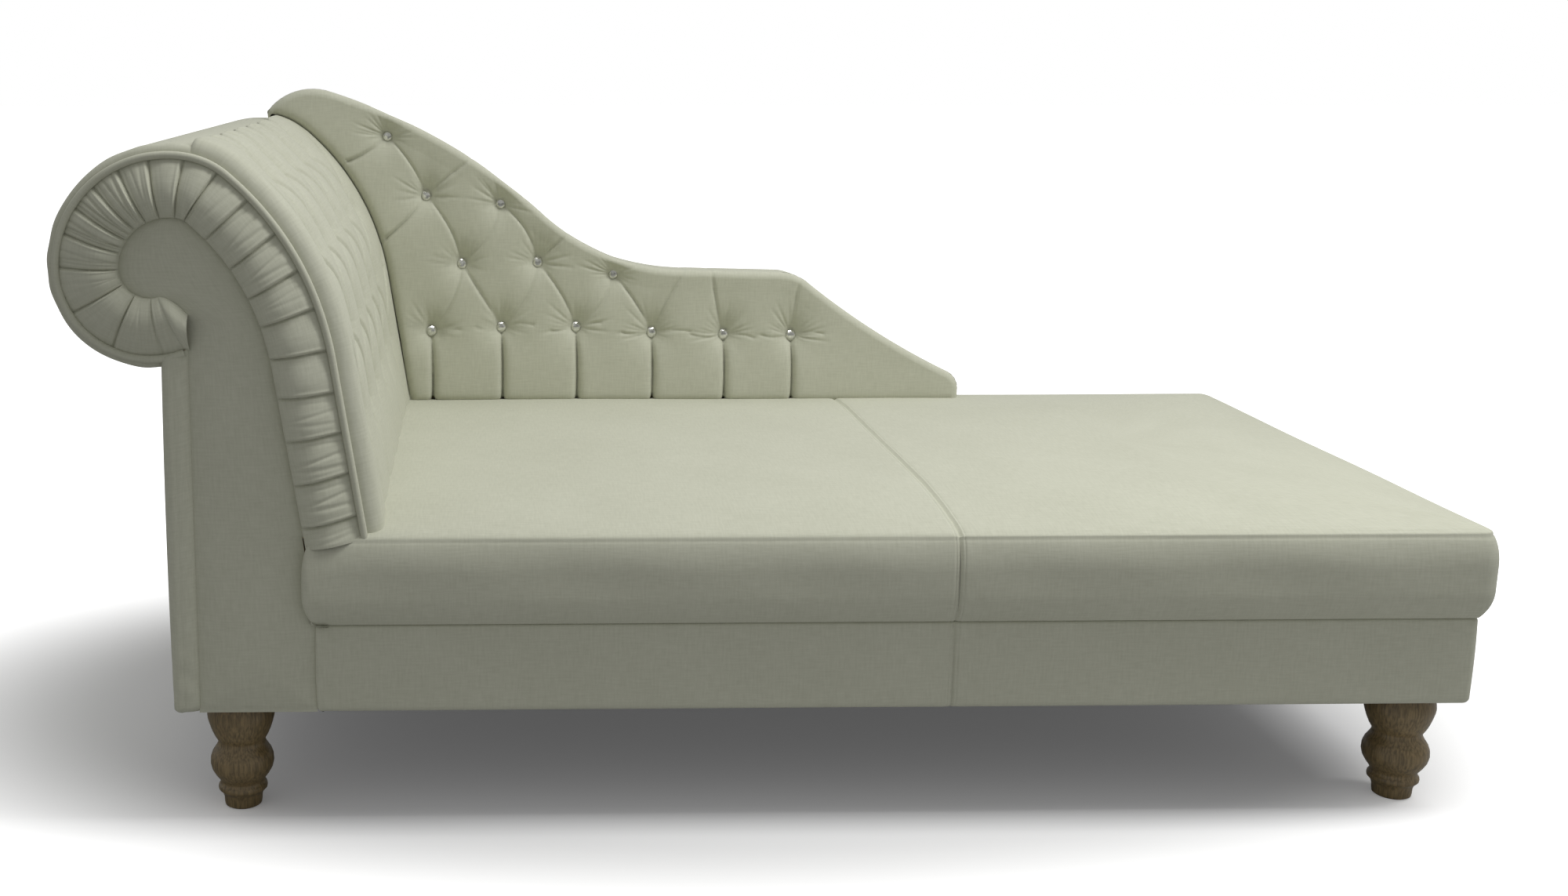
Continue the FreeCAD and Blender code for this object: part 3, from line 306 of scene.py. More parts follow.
# %% [markdown]
# ## The upholstery cloth
#
# The cover is a plain woven linen blend in a pale sage green. Its threads are about 0.5 mm apart,
# too fine to show from three metres, so the slubs, the thick places that linen yarn has every few
# centimetres, are what the eye gets: short pale and dark streaks along both threads. They come
# from two noises stretched along the cloth's own UV directions, in colour and in height.

# %% Linen weave
SLUB_WIDTH = 0.0026   # metres; real slubs are under 1 mm, drawn coarser so that they show
SLUB_LENGTH = 0.022
WEAVE_SHARE, DRIFT_SHARE = 0.25, 0.14  # parts of slubs and slow drift in the tone


def woven(name, tone, dark):
    """Cloth with slubs along both threads and a slow change of tone over the cover."""
    material, shader = new_finish(name, Roughness=0.86, Sheen_Weight=0.12, Sheen_Roughness=0.6,
                                  Specular_IOR_Level=0.25)
    place = add_node(material, "TexCoord").outputs["UV"]
    wide, long = 1 / SLUB_WIDTH, 1 / SLUB_LENGTH
    threads = [stretched_noise(material, place, scale, Detail=3.0, Roughness=0.55)
               for scale in ((wide, long, 1), (long, wide, 1))]
    weave = add_node(material, "Math", {"operation": "ADD"}, enumerate(threads)).outputs[0]
    slow = add_node(material, "TexNoise", {"Scale": 7.0, "Detail": 2.0}, {"Vector": place})
    drift = add_node(material, "Math", {"operation": "MULTIPLY", 1: DRIFT_SHARE},
                     {0: slow.outputs["Fac"]})
    both = add_node(material, "Math", {"operation": "MULTIPLY_ADD", 1: WEAVE_SHARE},
                    {0: weave, 2: drift.outputs[0]})
    mixed = two_tones(material, both.outputs[0], (0.22, dark), (0.42, tone))
    finish_with(material, shader, mixed, weave, 0.25, 0.0004)
    return material


LINEN = woven("sage_linen_weave", "C9CAB8", "BBBCA9")


def upholster(name, node, fill, *grids):
    """Piece of linen that stands for one CAD cover. Its fill, a share of its volume, is not used.
    """
    dress(join_grids(name, grids, LINEN), [node])


print("cloth", LINEN.name)

# %% [markdown]
# ## How deep buttoning folds a cover
#
# The cover is larger than the pad under it. Each button pulls a pit, and the spare cloth between
# two buttons is tucked into a pleat. So a tufted surface is a smooth pad pressed in by three
# things: a pit round each button, a curved crease for each pleat, steep on one side and gentle
# on the other, and a fan of fine wrinkles where the cloth gathers towards the button. Each
# is a depth in millimetres over the whole grid, and the depths join so that the deepest wins
# smoothly instead of adding up.

# %% Pits, pleats and fans
BUTTON_RADIUS = 9.0


def join_depths(parts, limit):
    """Smooth union of depths: the limit times one less the product of what each leaves."""
    left = np.ones_like(parts[0])
    for part in parts:
        left *= 1 - np.clip(part / limit, 0, 0.999)
    return limit * (1 - left)


def pit(a, b, centre, deep, wide, stretch):
    """Pit that falls off as a power curve from the button's rim, longer on its upper side."""
    across, up = a - centre[0], b - centre[1]
    up = np.where(up > 0, up / stretch, up)
    away = np.maximum(np.hypot(across, up) - BUTTON_RADIUS * 0.8, 0)
    return deep * np.exp(-(away / wide) ** 0.85)


def pleat(a, b, start, end, bulge, deep, steep, gentle, line=1.5, even=0.6):
    """Crease along a curve through a bulged middle point, with one steep side.

    Its depth fades as an exponential of the distance from the curve, deeper near the ends."""
    start, end = np.array(start, float), np.array(end, float)
    ahead = end - start
    side = np.array([-ahead[1], ahead[0]]) / max(np.linalg.norm(ahead), 1e-6)
    middle = (start + end) / 2 + side * bulge * 2
    share = np.linspace(0, 1, 33)[:, None]
    curve = (1 - share) ** 2 * start + 2 * share * (1 - share) * middle + share ** 2 * end
    away = np.full(a.shape, 1e9)
    place = np.zeros(a.shape)
    over = np.zeros(a.shape)
    for number in range(len(curve) - 1):
        step = curve[number + 1] - curve[number]
        reach = step @ step
        part = np.clip(((a - curve[number, 0]) * step[0] + (b - curve[number, 1]) * step[1])
                       / reach, 0, 1)
        off_a = a - curve[number, 0] - part * step[0]
        off_b = b - curve[number, 1] - part * step[1]
        distance = np.hypot(off_a, off_b)
        nearer = distance < away
        away = np.where(nearer, distance, away)
        place = np.where(nearer, (number + part) / (len(curve) - 1), place)
        over = np.where(nearer, step[0] * off_b - step[1] * off_a, over)
    strength = even + (1 - even) * np.abs(2 * place - 1) ** 2
    fall = np.where(over > 0, np.exp(-away / gentle), np.exp(-away / steep))
    return deep * strength * fall + line * np.exp(-(away / 2.0) ** 2)


def fan(a, b, centre, rays, deep):
    """Fine grooves that run out from a button, each widening and fading along its length."""
    across, up = a - centre[0], b - centre[1]
    total = np.zeros(a.shape)
    for angle, reach in rays:
        along = across * math.cos(angle) + up * math.sin(angle)
        off = np.abs(up * math.cos(angle) - across * math.sin(angle))
        share = np.clip(along / reach, 0, 1)
        wide = 1.2 + 1.9 * share
        shape = np.clip(along / 7, 0, 1) * (1 - share) ** 1.5
        total = np.maximum(total, deep * shape * np.exp(-(off / wide) ** 2))
    return total


chance = np.random.default_rng(7)


def rays_of(long_reach, short_reach):
    """Angles and lengths of a fan: long upwards and sideways, short below."""
    angles = np.radians([4, 17, 31, 44, 57, 70, 83, 97, 111, 125, 139, 153, 166, 178, 192, 207,
                         333, 349])
    angles = angles + chance.normal(0, math.radians(4), angles.size)
    reach = np.where(np.sin(angles) > -0.25, long_reach, short_reach)
    return list(zip(angles, reach * chance.uniform(0.65, 1.25, angles.size)))


# %% [markdown]
# ## The buttoned back
#
# Twelve crystals hold the back in a staggered grid. The strong pleats run down to the right in
# shallow bows, the faint ones down to the left, and the lowest row's pleats drop straight to the
# seat as narrow slits. The grid of points is stretched between two curves: the line where the
# back meets the arm and the seat, and its sloping top edge. So its rows follow both, and the edge
# can roll over to the rear in one smooth turn.

# %% The back's buttons and pleats
def centres_of(node):
    """Middle of each button of a CAD node, found by gathering its corners."""
    corners = np.array([corner.co for corner in frame["nodes"][node].data.vertices]) * 1000
    middles = []
    while len(corners):
        near = np.linalg.norm(corners - corners[0], axis=1) < 3 * BUTTON_RADIUS
        middles.append((corners[near].min(0) + corners[near].max(0)) / 2)
        corners = corners[~near]
    return np.array(middles)


BACK_BUTTONS = centres_of("back_buttons")
LEVELS = (505, 605, 718, 826)  # heights of the rows, within 20 mm
rows = [BACK_BUTTONS[np.abs(BACK_BUTTONS[:, 2] - level) < 20] for level in LEVELS]
# Moves of a few millimetres off the regular grid, as in the photograph.
SETTLE = [[(-1, -5), (-6, 1), (-3, 1), (2, -9), (1, -12), (-7, -14)],
          [(0, 0), (4, 2), (8, -1)], [(-8, 5), (-7, -5)], [(1, -5)]]
rows = [[(x + dx, z + dz) for (x, _y, z), (dx, dz) in zip(row[np.argsort(row[:, 0])], moves)]
        for row, moves in zip(rows, SETTLE)]
STRONG = [(rows[3][0], rows[2][0]), (rows[2][0], rows[1][0]), (rows[1][0], rows[0][1]),
          (rows[2][1], rows[1][1]), (rows[1][1], rows[0][2]), (rows[1][2], rows[0][3])]
BOWS = dict(zip([start for start, _end in STRONG], (8, 10, 1, 12, 7, 5)))
FAINT = [(rows[2][1], rows[1][0]), (rows[1][1], rows[0][1]), (rows[1][2], rows[0][2]),
         (rows[1][0], rows[0][0])]
TO_ARM = [(rows[3][0], (-592, 781)), (rows[2][0], (-533, 655))]
TENSION = [(rows[0][place], (rows[0][place][0] + reach, rows[0][place][1] + rise))
           for place, reach, rise in ((0, 46, 4), (1, -42, 2), (1, 52, 6), (2, -44, -3), (2, 40, 8),
                                      (3, -50, 3), (3, 62, 4), (4, -56, 2), (4, 48, -4),
                                      (5, -52, 3), (5, 50, 5))]
TO_EDGE = [(rows[3][0], (-518, 880)), (rows[2][0], (-366, 800)), (rows[1][1], (-205, 680)),
           (rows[0][3], (-24, 630)), (rows[0][4], (2, 630)), (rows[0][5], (160, 630))]
print("rows of buttons", [len(row) for row in rows])


def back_relief(x, z):
    """Depth of the cover under its smooth face, in millimetres."""
    parts = []
    for row in rows:
        for centre in row:
            parts.append(pit(x, z, centre, 21, 16, stretch=1.8))
            parts.append(fan(x, z, centre, rays_of(60, 26), deep=6))
    for start, end in STRONG:
        parts.append(pleat(x, z, start, end, BOWS[start], 6.5, 2.5, 9, line=3))
    for pairs, *shape in ((FAINT, 10, 3.5, 5, 8, 2), (TO_ARM, 4, 4.5, 3, 7, 2.6),
                          (TO_EDGE, 4, 3.6, 3, 6, 2.6), (TENSION, 4, 1.8, 3, 6, 1.3, 0.4)):
        parts += [pleat(x, z, start, end, *shape) for start, end in pairs]
    for cx, cz in rows[0]:
        parts.append(pleat(x, z, (cx, cz - 8), (cx + 1, BACK_FLOOR - 6), 1.5, 15, 3.2, 4.2,
                           line=2.5, even=0.9))
    return join_depths(parts, 26)


# %% The grid between the seat line and the sloping edge
def evenly(x, z, count):
    """Points spread evenly by length along a polyline."""
    gone = np.concatenate([[0], np.cumsum(np.hypot(np.diff(x), np.diff(z)))])
    place = np.linspace(0, gone[-1], count)
    return np.interp(place, gone, x), np.interp(place, gone, z)


def distance_to(x, z, line_x, line_z):
    """Least distance of each grid point from a polyline."""
    away = np.full(x.shape, 1e9)
    for ax, az, bx, bz in zip(line_x[:-1], line_z[:-1], line_x[1:], line_z[1:]):
        reach = (bx - ax) ** 2 + (bz - az) ** 2 + 1e-9
        part = np.clip(((x - ax) * (bx - ax) + (z - az) * (bz - az)) / reach, 0, 1)
        away = np.minimum(away, np.hypot(x - ax - part * (bx - ax), z - az - part * (bz - az)))
    return away


QUILT = 24.0       # the arm's tufted cover stands this far outside its piping line
EDGE_ROUND = 12.0  # radius of the back's rolled edge
ROLL_TOP = 846     # height of the back's corner, just over the roll
COLUMNS, ROWS = 560, 150

arm_x, arm_z = follow(SCROLL, np.linspace(TUFTED, 18, 120), QUILT)
low_x = np.concatenate([BACK_START[:1], arm_x, [span("back_inside_cover", 0)[1]]])
low_z = np.concatenate([[ROLL_TOP], arm_z, [BACK_FLOOR]])
low_x, low_z = evenly(low_x, low_z, COLUMNS)
top_x, top_z = follow(BACK, np.linspace(0, length_of(BACK), 900))
top_x, top_z = evenly(np.concatenate([top_x[:1], top_x, top_x[-1:]]),
                      np.concatenate([[ROLL_TOP + 2], top_z, [BACK_FLOOR + 2]]), COLUMNS)
share = 1 - (1 - np.linspace(0, 1, ROWS)[:, None]) ** 1.5
face_x = low_x + (top_x - low_x) * share
face_z = low_z + (top_z - low_z) * share
from_edge = distance_to(face_x, face_z, top_x[::4], top_z[::4])
to_edge = np.minimum(from_edge, EDGE_ROUND)
to_root = distance_to(face_x, face_z, low_x[::8], low_z[::8])
face_y = BACK_FACE + EDGE_ROUND - np.sqrt(EDGE_ROUND ** 2 - (EDGE_ROUND - to_edge) ** 2)
face_y += 11 * np.exp(-(to_root / 6) ** 1.2)
print("face of the back", face_x.shape)

# %% The back's cover
wrap = np.array([(0.3, 6), (0.8, 14), (1.6, 28), (2.5, 44), (3.5, 60), (4.2, 70), (5.5, 75),
                 (9, 77.5), (14, 78), (30, 77)])
heading = np.arctan2(np.gradient(top_z), np.gradient(top_x))
rear_x = top_x + np.sin(heading) * wrap[:, :1]
rear_z = top_z - np.cos(heading) * wrap[:, :1]
rear_y = np.broadcast_to(BACK_FACE + EDGE_ROUND + wrap[:, 1:], rear_x.shape)
smooth = np.stack([np.concatenate([face_x, rear_x]), np.concatenate([face_y, rear_y]),
                   np.concatenate([face_z, rear_z])], axis=2)
relief = back_relief(face_x, face_z) * (0.22 + 0.78 * np.clip(from_edge / 34, 0, 1) ** 0.8)
fade = np.linspace(1, 0, len(wrap))[:, None] ** 0.7
relief = np.concatenate([relief, relief[-1:] * fade])
cover = smooth - normals_of(smooth) * relief[:, :, None]
flat_uv = np.stack([smooth[:, :, 0], smooth[:, :, 2] + (smooth[:, :, 1] - BACK_FACE)], axis=2)
upholster("back_buttoned_cover", "back_inside_cover", 0.8, (cover, flat_uv, True))

# %% [markdown]
# ## The inside of the arm
#
# The same pits, pleats and fans are worked out on the arm as if its cover lay flat, along the
# scroll's outline one way and along the depth of the seat the other. The grid then bends over the
# outline, and the depth is taken off along the surface's own normal.

# %% The arm's tufted cover
ARM_START = 13.0   # along the outline, just under the seat's top
TUFT_ROUND = 20.0  # rounding of the padding towards the piping
ROW_STEP, TUFT_STEP = 107, 121
FIRST_ROW, FIRST_TUFT = 146, -340  # the lowest row along the outline, its first tuft in depth
arm_rows = [FIRST_ROW + ROW_STEP * row for row in range(4)]
arm_buttons = [(distance, FIRST_TUFT + row % 2 * TUFT_STEP / 2 + TUFT_STEP * place)
               for row, distance in enumerate(arm_rows) for place in range(6 - row % 2)]


def rounded_front(depth, radius):
    """How far a rounded front edge falls back at a depth behind the front."""
    inside = np.clip(radius - depth, 0, radius)
    return radius - np.sqrt(radius ** 2 - inside ** 2)


def arm_relief(distance, y):
    """Depth of the arm's cover: shallow pits and short pleats towards the neighbours above."""
    parts = []
    for along, side in arm_buttons:
        parts.append(pit(y, distance, (side, along), 19, 17, stretch=1.3))
        parts.append(fan(y, distance, (side, along), rays_of(44, 30), deep=3.5))
        for way in (-1, 1):
            end = (side + way * TUFT_STEP / 2, min(along + ROW_STEP, TUFTED + 20))
            parts.append(pleat(y, distance, (side, along), end, 7 * way, 9, 3, 15, line=3,
                               even=0.35))
        if along == arm_rows[0]:
            parts.append(pleat(y, distance, (side, along), (side, ARM_START), 1, 9, 4, 8,
                               even=0.7))
    return join_depths(parts, 22)


y_places = np.concatenate([[0.0, 0.6, 1.6, 3, 5, 7.5, 10.5, 14, 18], np.linspace(21, 838, 330)])
distances = np.linspace(ARM_START, TUFTED, 230)
y, distance = np.meshgrid(y_places - FRONT, distances)
fall = rounded_front(y + FRONT, TUFT_ROUND)
seam = np.clip((TUFTED - distance) / 8, 0, 1)
offset = QUILT - fall - 11 * (1 - np.sqrt(1 - (1 - seam) ** 2))
x, z = follow(SCROLL, distance, offset)
smooth = np.stack([x, y, z], axis=2)
relief = arm_relief(distance, y) * np.clip((y + FRONT - 30) / 40, 0, 1)
cover = smooth - normals_of(smooth) * relief[:, :, None]
upholster("arm_buttoned_cover", "arm_inside_cover", 0.8,
          (cover, np.stack([y, distance], axis=2), True))

# %% [markdown]
# ## The roll, its piping and the gathered border
#
# Over the scroll the cover is plain and pulled tight, with a seam where it meets the tufted part.
# Its front edge turns under a round self piping. Inside the piping lies the border: one long
# strip gathered round the curve, so that it breaks into tucks, deep and close on the roll and
# shallower down the straight.

# %% Roll cover
ROLL_PROUD = 13.3
roll_places = np.concatenate([[0.0, 0.5, 1.5, 3, 5, 8, 11], np.linspace(14, 852, 60),
                              [855, 857.5, 859.4, 860]])
y, distance = np.meshgrid(roll_places - FRONT, np.linspace(TUFTED - 4, ROLL_END, 180))
fall = rounded_front(y + FRONT, 11) + rounded_front(FRONT - y, 8)
crimp = np.sin(distance / 8.5 + 2.2 * np.sin(distance / 31)) * np.exp(-(y + FRONT - 12) / 14)
crimp = 0.35 * crimp * (y + FRONT > 6)
x, z = follow(SCROLL, distance, ROLL_PROUD - fall + crimp)
upholster("arm_roll_cover_plain", "arm_roll_cover", 0.9, (np.stack([x, y, z], axis=2), None, True))

# %% Piping
def cord_along(distance, offset, y, radius, sides=16):
    """Tube round a chain: the offset and the depth take a circle's cosine and sine."""
    turn = np.linspace(0, 2 * math.pi, sides + 1)
    distance, turn = np.meshgrid(distance, turn)
    x, z = follow(SCROLL, distance, offset + radius * np.cos(turn))
    return np.stack([x, y + radius * np.sin(turn), z], axis=2)


PIPE_RADIUS = 4.6
pipe = cord_along(np.linspace(11, length_of(SCROLL) - 3, 420), 0.3, -FRONT - 5.2, PIPE_RADIUS)
dress(join_grids("arm_scroll_piping", [(pipe, None, False)], LINEN), ["arm_piping"])

# %% Gathered border
BORDER_OUT, BORDER_IN = -3.0, -74.0
EDGE_THICK, CROWN_THICK = 3.5, 18.0
GATHERS = np.array([-20, 39, 93, 146, 198, 250, 301, 349, 401, 455, 505, 549, 590, 628, 664, 699,
                    735, 779, 838, 900, 962, 1010])


def gathered(distance, across):
    """Height of the tucks: a bulge between two creases that leans to one side, with a crisp
    crease at its foot, and two weaker folds inside each tuck."""
    lean = 5 * np.sin(distance / 47) * (across - 0.5)
    moved = distance + lean
    number = np.clip(np.searchsorted(GATHERS, moved, side="right") - 1, 0, len(GATHERS) - 2)
    start, end = GATHERS[number], GATHERS[number + 1]
    part = np.clip((moved - start) / (end - start), 0, 1)
    bulge = np.sin(math.pi * part ** 0.6) ** 0.8
    crease = np.exp(-((moved - start) / 1.5) ** 2) + np.exp(-((end - moved) / 1.5) ** 2)
    ridge = np.exp(-((moved - start - 4) / 2.2) ** 2)
    inner = np.sin(5.1 * number + 1)
    fold = np.exp(-((part - 0.36 - 0.12 * inner - 0.1 * across) / 0.055) ** 2)
    fold += np.exp(-((part - 0.66 - 0.08 * inner + 0.16 * across) / 0.045) ** 2)
    fold += 0.7 * np.exp(-((part - 0.82 + 0.1 * inner * across) / 0.035) ** 2)
    crush = 0.45 + 0.55 * np.sin(7.3 * number) + 0.9 * np.exp(-((distance - 720) / 110) ** 2)
    slack = np.clip((distance - 900) / 40, 0, 1)
    shape = 5.5 * bulge - 3.6 * crease + 1.5 * ridge - 1.7 * fold * crush
    return shape * (1 - 0.6 * slack) + 2 * slack


distance, across = np.meshgrid(np.linspace(11, length_of(SCROLL) - 2, 900),
                               np.linspace(0, 1, 46))
crown = EDGE_THICK + (CROWN_THICK - EDGE_THICK) * np.sin(math.pi * across ** 1.25) ** 0.75
crown += 4 * across
edge = np.clip(np.minimum(across, 1 - across) / 0.16, 0, 1) ** 0.6
crown = crown + (gathered(distance, across) - 3) * (0.35 + 0.65 * edge)
crown = np.where(across > 0.995, 1.5, np.maximum(crown, 1.2))
x, z = follow(SCROLL, distance, BORDER_OUT + (BORDER_IN - BORDER_OUT) * across)
cloth = np.stack([x, -FRONT - crown, z], axis=2)
last = cloth[:, -1]
post = np.column_stack([np.full(len(last), -POST_RIGHT + 3.0), last[:, 1] + 1, last[:, 2]])
post[:, 2] = np.linspace(last[0, 2] - 1, last[-1, 2] - 23, len(last))
onward = np.linspace(0, 1, 26)[1:, None, None]
bow = np.array([0, -3.5, 0]) * np.sin(math.pi * onward ** 0.6)
bow = bow * np.sin(math.pi * across[:, 0])[None, :, None] ** 0.5
sink = np.concatenate([onward, onward, onward ** 1.7], axis=2)
tail = (last + (post - last) * sink + bow).transpose(1, 0, 2)
cloth = np.concatenate([cloth, tail], axis=1)
upholster("arm_gathered_border", "arm_scroll_border", 0.7, (cloth, None, True))

# %% [markdown]
# ## The facing, and the outside of the arm
#
# A flat padded panel fills the scroll and runs down to the hem. Each row of its grid lies between
# the inner edges of the border, or between the post's sides lower down, so the panel needs no
# outline of its own. The outside cover wraps round the post: a pale strip in front, the side and
# the hem.

# %% Facing
line_x, line_z = follow(SCROLL, np.linspace(0, length_of(SCROLL), 700), BORDER_IN + 5)
levels = np.linspace(PLINTH_BASE, line_z.max(), 150)
turning = int(np.argmax(line_z))
right_edge = np.interp(levels, line_z[:turning], line_x[:turning])
left_z, left_x = line_z[turning:][::-1], line_x[turning:][::-1]
tip = int(np.argmin(left_z))
left_edge = np.interp(levels, left_z[tip:], left_x[tip:])
lip = np.clip((left_z[tip] - levels) / 26, 0, 1)
left_edge = np.where(levels < left_z[tip], left_x[tip] + (-POST_RIGHT - 0.6 - left_x[tip]) * lip,
                     left_edge)
ROOT_HIGH = SEAT_HEAD + 0.3
SEAT_EDGE, SEAT_DEEP = 370.0, 110  # height of the seat's edge, and its boxing below it
below = np.clip((SEAT_EDGE - levels) / SEAT_DEEP, 0, 1)
right_edge = np.where(levels < SEAT_EDGE + 2, -ROOT_HIGH + (ROOT_HIGH - ROOT_LOW) * below,
                      right_edge)
across = np.linspace(0, 1, 60)[None, :]
x = left_edge[:, None] + (right_edge - left_edge)[:, None] * across
z = np.broadcast_to(levels[:, None], x.shape)
width = x[:, -1:] - x[:, :1]
rim = np.minimum(np.minimum(across * width, (1 - across) * width), z - PLINTH_BASE)
puff = 9.5 * (1 - np.exp(-rim / 26))
hem = rounded_front(z - PLINTH_BASE, 9)
facing = np.stack([x, -FRONT - 0.7 - puff + np.minimum(hem, puff), z], axis=2)
upholster("arm_facing_panel", "arm_facing", 0.6, (facing, None, True))

# %% Outside of the arm
POST_ROUND = 12.0
turn = np.linspace(0, math.pi / 2, 9)
front_share = np.linspace(0, 1, 14)
plan_x = np.concatenate([-POST_RIGHT + 0.8 - 19 * front_share, -ARM_SIDE + POST_ROUND
                         - POST_ROUND * np.sin(turn[1:]), np.full(40, -ARM_SIDE)])
plan_y = np.concatenate([-FRONT - 0.6 - 8.5 * np.sin(front_share * 1.7) ** 0.6, -FACING + 6.4
                         - POST_ROUND * np.cos(turn[1:]), np.linspace(-FACING + 30, FRONT + 5, 40)])
plan_x, plan_y = plan_x[None, :], plan_y[None, :]
HUB_X, HUB_Z = -768.4, 702.4  # centre of the scroll's last arc
under = np.where(plan_y < -FRONT + 1, 106.0, 121.7)  # radii under the border and the roll
ceiling = HUB_Z - np.sqrt(under ** 2 - (plan_x - HUB_X) ** 2)
share = np.linspace(0, 1, 90)[:, None]
z = PLINTH_BASE + (ceiling - PLINTH_BASE) * share
tuck = rounded_front(z - PLINTH_BASE, 10)
swell = 2.0 * np.sin(math.pi * share) * (plan_y > -FRONT)
crumple = 0.7 * np.exp(-((z - 190) / 45) ** 2) * np.sin(z / 6.5 + plan_x / 9)
crumple = crumple * (plan_y < -FRONT + 2)
x = plan_x + tuck * (plan_y > -FRONT) - swell
y = plan_y + tuck * (plan_y <= -FRONT) - crumple
upholster("arm_outside_cloth", "arm_outside_cover", 0.4,
          (np.stack(np.broadcast_arrays(x, y, z), axis=2), None, False))

# %% [markdown]
# ## The plinth's border
#
# Padded cloth goes round the rails under the seat and turns under them as a soft hem. In plan it
# is one line with rounded corners, and its section is swept along that line: the rim rolls in at
# both ends, so that the border never shows a raw edge.

# %% Plan lines with rounded corners
def plan_line(corners, radii, step=6.0):
    """Points and outward normals of a plan path. Each inner corner becomes an arc."""
    places = [np.array(corners[0], float)]
    for before, corner, after, radius in zip(corners[:-2], corners[1:-1], corners[2:], radii):
        before, corner, after = (np.array(point, float) for point in (before, corner, after))
        inward = (before - corner) / np.linalg.norm(before - corner)
        onward = (after - corner) / np.linalg.norm(after - corner)
        middle = corner + radius * (inward + onward)
        for turn in np.linspace(0, math.pi / 2, 11):
            places.append(middle - radius * (onward * math.cos(turn) + inward * math.sin(turn)))
    places.append(np.array(corners[-1], float))
    filled = [places[0]]
    for start, end in zip(places[:-1], places[1:]):
        count = max(1, int(np.linalg.norm(end - start) / step))
        for share in np.linspace(0, 1, count + 1)[1:]:
            filled.append(start + (end - start) * share)
    line = np.array(filled)
    heading = np.gradient(line, axis=0)
    heading /= np.maximum(np.linalg.norm(heading, axis=1, keepdims=True), 1e-9)
    return line, np.stack([heading[:, 1], -heading[:, 0]], axis=1)


def swept(line, outward, profile, ripple=None):
    """Grid of a profile (out, up) carried along a plan line."""
    out, up = np.array(profile, float).T
    out = out[:, None] + (0 if ripple is None else ripple)
    x = line[None, :, 0] + outward[None, :, 0] * out
    y = line[None, :, 1] + outward[None, :, 1] * out
    return np.stack([x, y, np.broadcast_to(up[:, None], x.shape)], axis=2)


def run_along(line):
    """Length gone along a plan line."""
    return np.concatenate([[0], np.cumsum(np.linalg.norm(np.diff(line, axis=0), axis=1))])


# %% Plinth border, in its two lengths
def plinth_profile():
    """Hem turned under, rounded lower rim, nearly plain face and a rounded top."""
    turn = np.linspace(0, math.pi / 2, 7)
    low = [(-13, PLINTH_BASE + 3.2), (-5, PLINTH_BASE + 3)]
    low += [(-8 + 8 * math.sin(a), PLINTH_BASE + 8 - 8 * math.cos(a)) for a in turn]
    face = [(0.9 * math.sin(math.pi * s), PLINTH_BASE + 8 + (PLINTH_TOP - PLINTH_BASE - 13) * s)
            for s in np.linspace(0.04, 0.96, 20)]
    high = [(-5 + 5 * math.cos(a), PLINTH_TOP - 5 + 5 * math.sin(a)) for a in turn]
    return low + face + high + [(-12, PLINTH_TOP - 0.4)]


def soft_ripple(line, count, size):
    """Slow uneven swell of stuffed cloth: three sines along the line, fading at hem and top."""
    run = run_along(line)[None, :]
    up = np.linspace(0, 1, count)[:, None]
    wave = np.sin(run / 61 + 2 * up) + 0.7 * np.sin(run / 137 + 1.3)
    wave = wave + 0.5 * np.sin(run / 29 - 3 * up)
    return size * wave * np.sin(math.pi * up)


def end_roll(line, at_start, at_end, radius=2.6):
    """How far the cloth dives at a sewn cross seam."""
    run = run_along(line)
    gap = np.full(run.shape, 1e9)
    if at_start:
        gap = np.minimum(gap, run)
    if at_end:
        gap = np.minimum(gap, run[-1] - run)
    stitches = 0.9 * np.exp(-((gap - 5.5) / 1.0) ** 2)
    return -(radius * np.exp(-(gap / 2.6) ** 2) + stitches)[None, :]


def finer_ends(line, outward):
    """More places near both ends, where a seam needs them."""
    run = run_along(line)
    extra = np.array([0.7, 1.5, 2.5, 3.7, 4.6, 5.5, 6.4, 7.5, 9.0])
    places = np.sort(np.concatenate([run, extra, run[-1] - extra]))
    pick = [np.interp(places, run, column) for column in (*line.T, *outward.T)]
    return np.stack(pick[:2], axis=1), np.stack(pick[2:], axis=1)


REAR_RUN_END = 413  # where the foot length meets the back, on the rear side


def plinth_border(name, node, corners, radii, at_start, at_end):
    """One length of the border: the section swept along its plan line."""
    line, outward = finer_ends(*plan_line(corners, radii))
    profile = plinth_profile()
    wave = soft_ripple(line, len(profile), 0.5) + end_roll(line, at_start, at_end)
    upholster(name, node, 0.5, (swept(line, outward, profile, wave), None, False))


plinth_border("plinth_border_head", "base_border_head",
              [(-ROOT_LOW, -FRONT + 8), (-ROOT_LOW, -PLINTH_SIDE), (SEAM_X, -PLINTH_SIDE)],
              (4.0,), False, True)
plinth_border("plinth_border_foot", "base_border_foot",
              [(SEAM_X, -PLINTH_SIDE), (PLINTH_END, -PLINTH_SIDE), (PLINTH_END, PLINTH_SIDE),
               (REAR_RUN_END, PLINTH_SIDE)], (11.0, 11.0), True, False)

# %% [markdown]
# ## The seat
#
# The seat's boxing swells between its seams and turns in hard at the foot, where it meets the
# plinth. The top panel is crowned. Both are sewn together with a flat seam that is stitched twice,
# which pulls two fine grooves along the edge, and a cross seam of the same kind runs over the
# seat about halfway along.

# %% Seat profile and top
def groove(away, apart, deep, wide=1.0):
    """Two stitched lines side by side: two narrow hollows."""
    return deep * (np.exp(-((away - apart) / wide) ** 2) + np.exp(-((away + apart) / wide) ** 2))


TURN_IN, LEAN_IN = 14.5, 9  # how far the boxing falls back at its foot and at its top seam


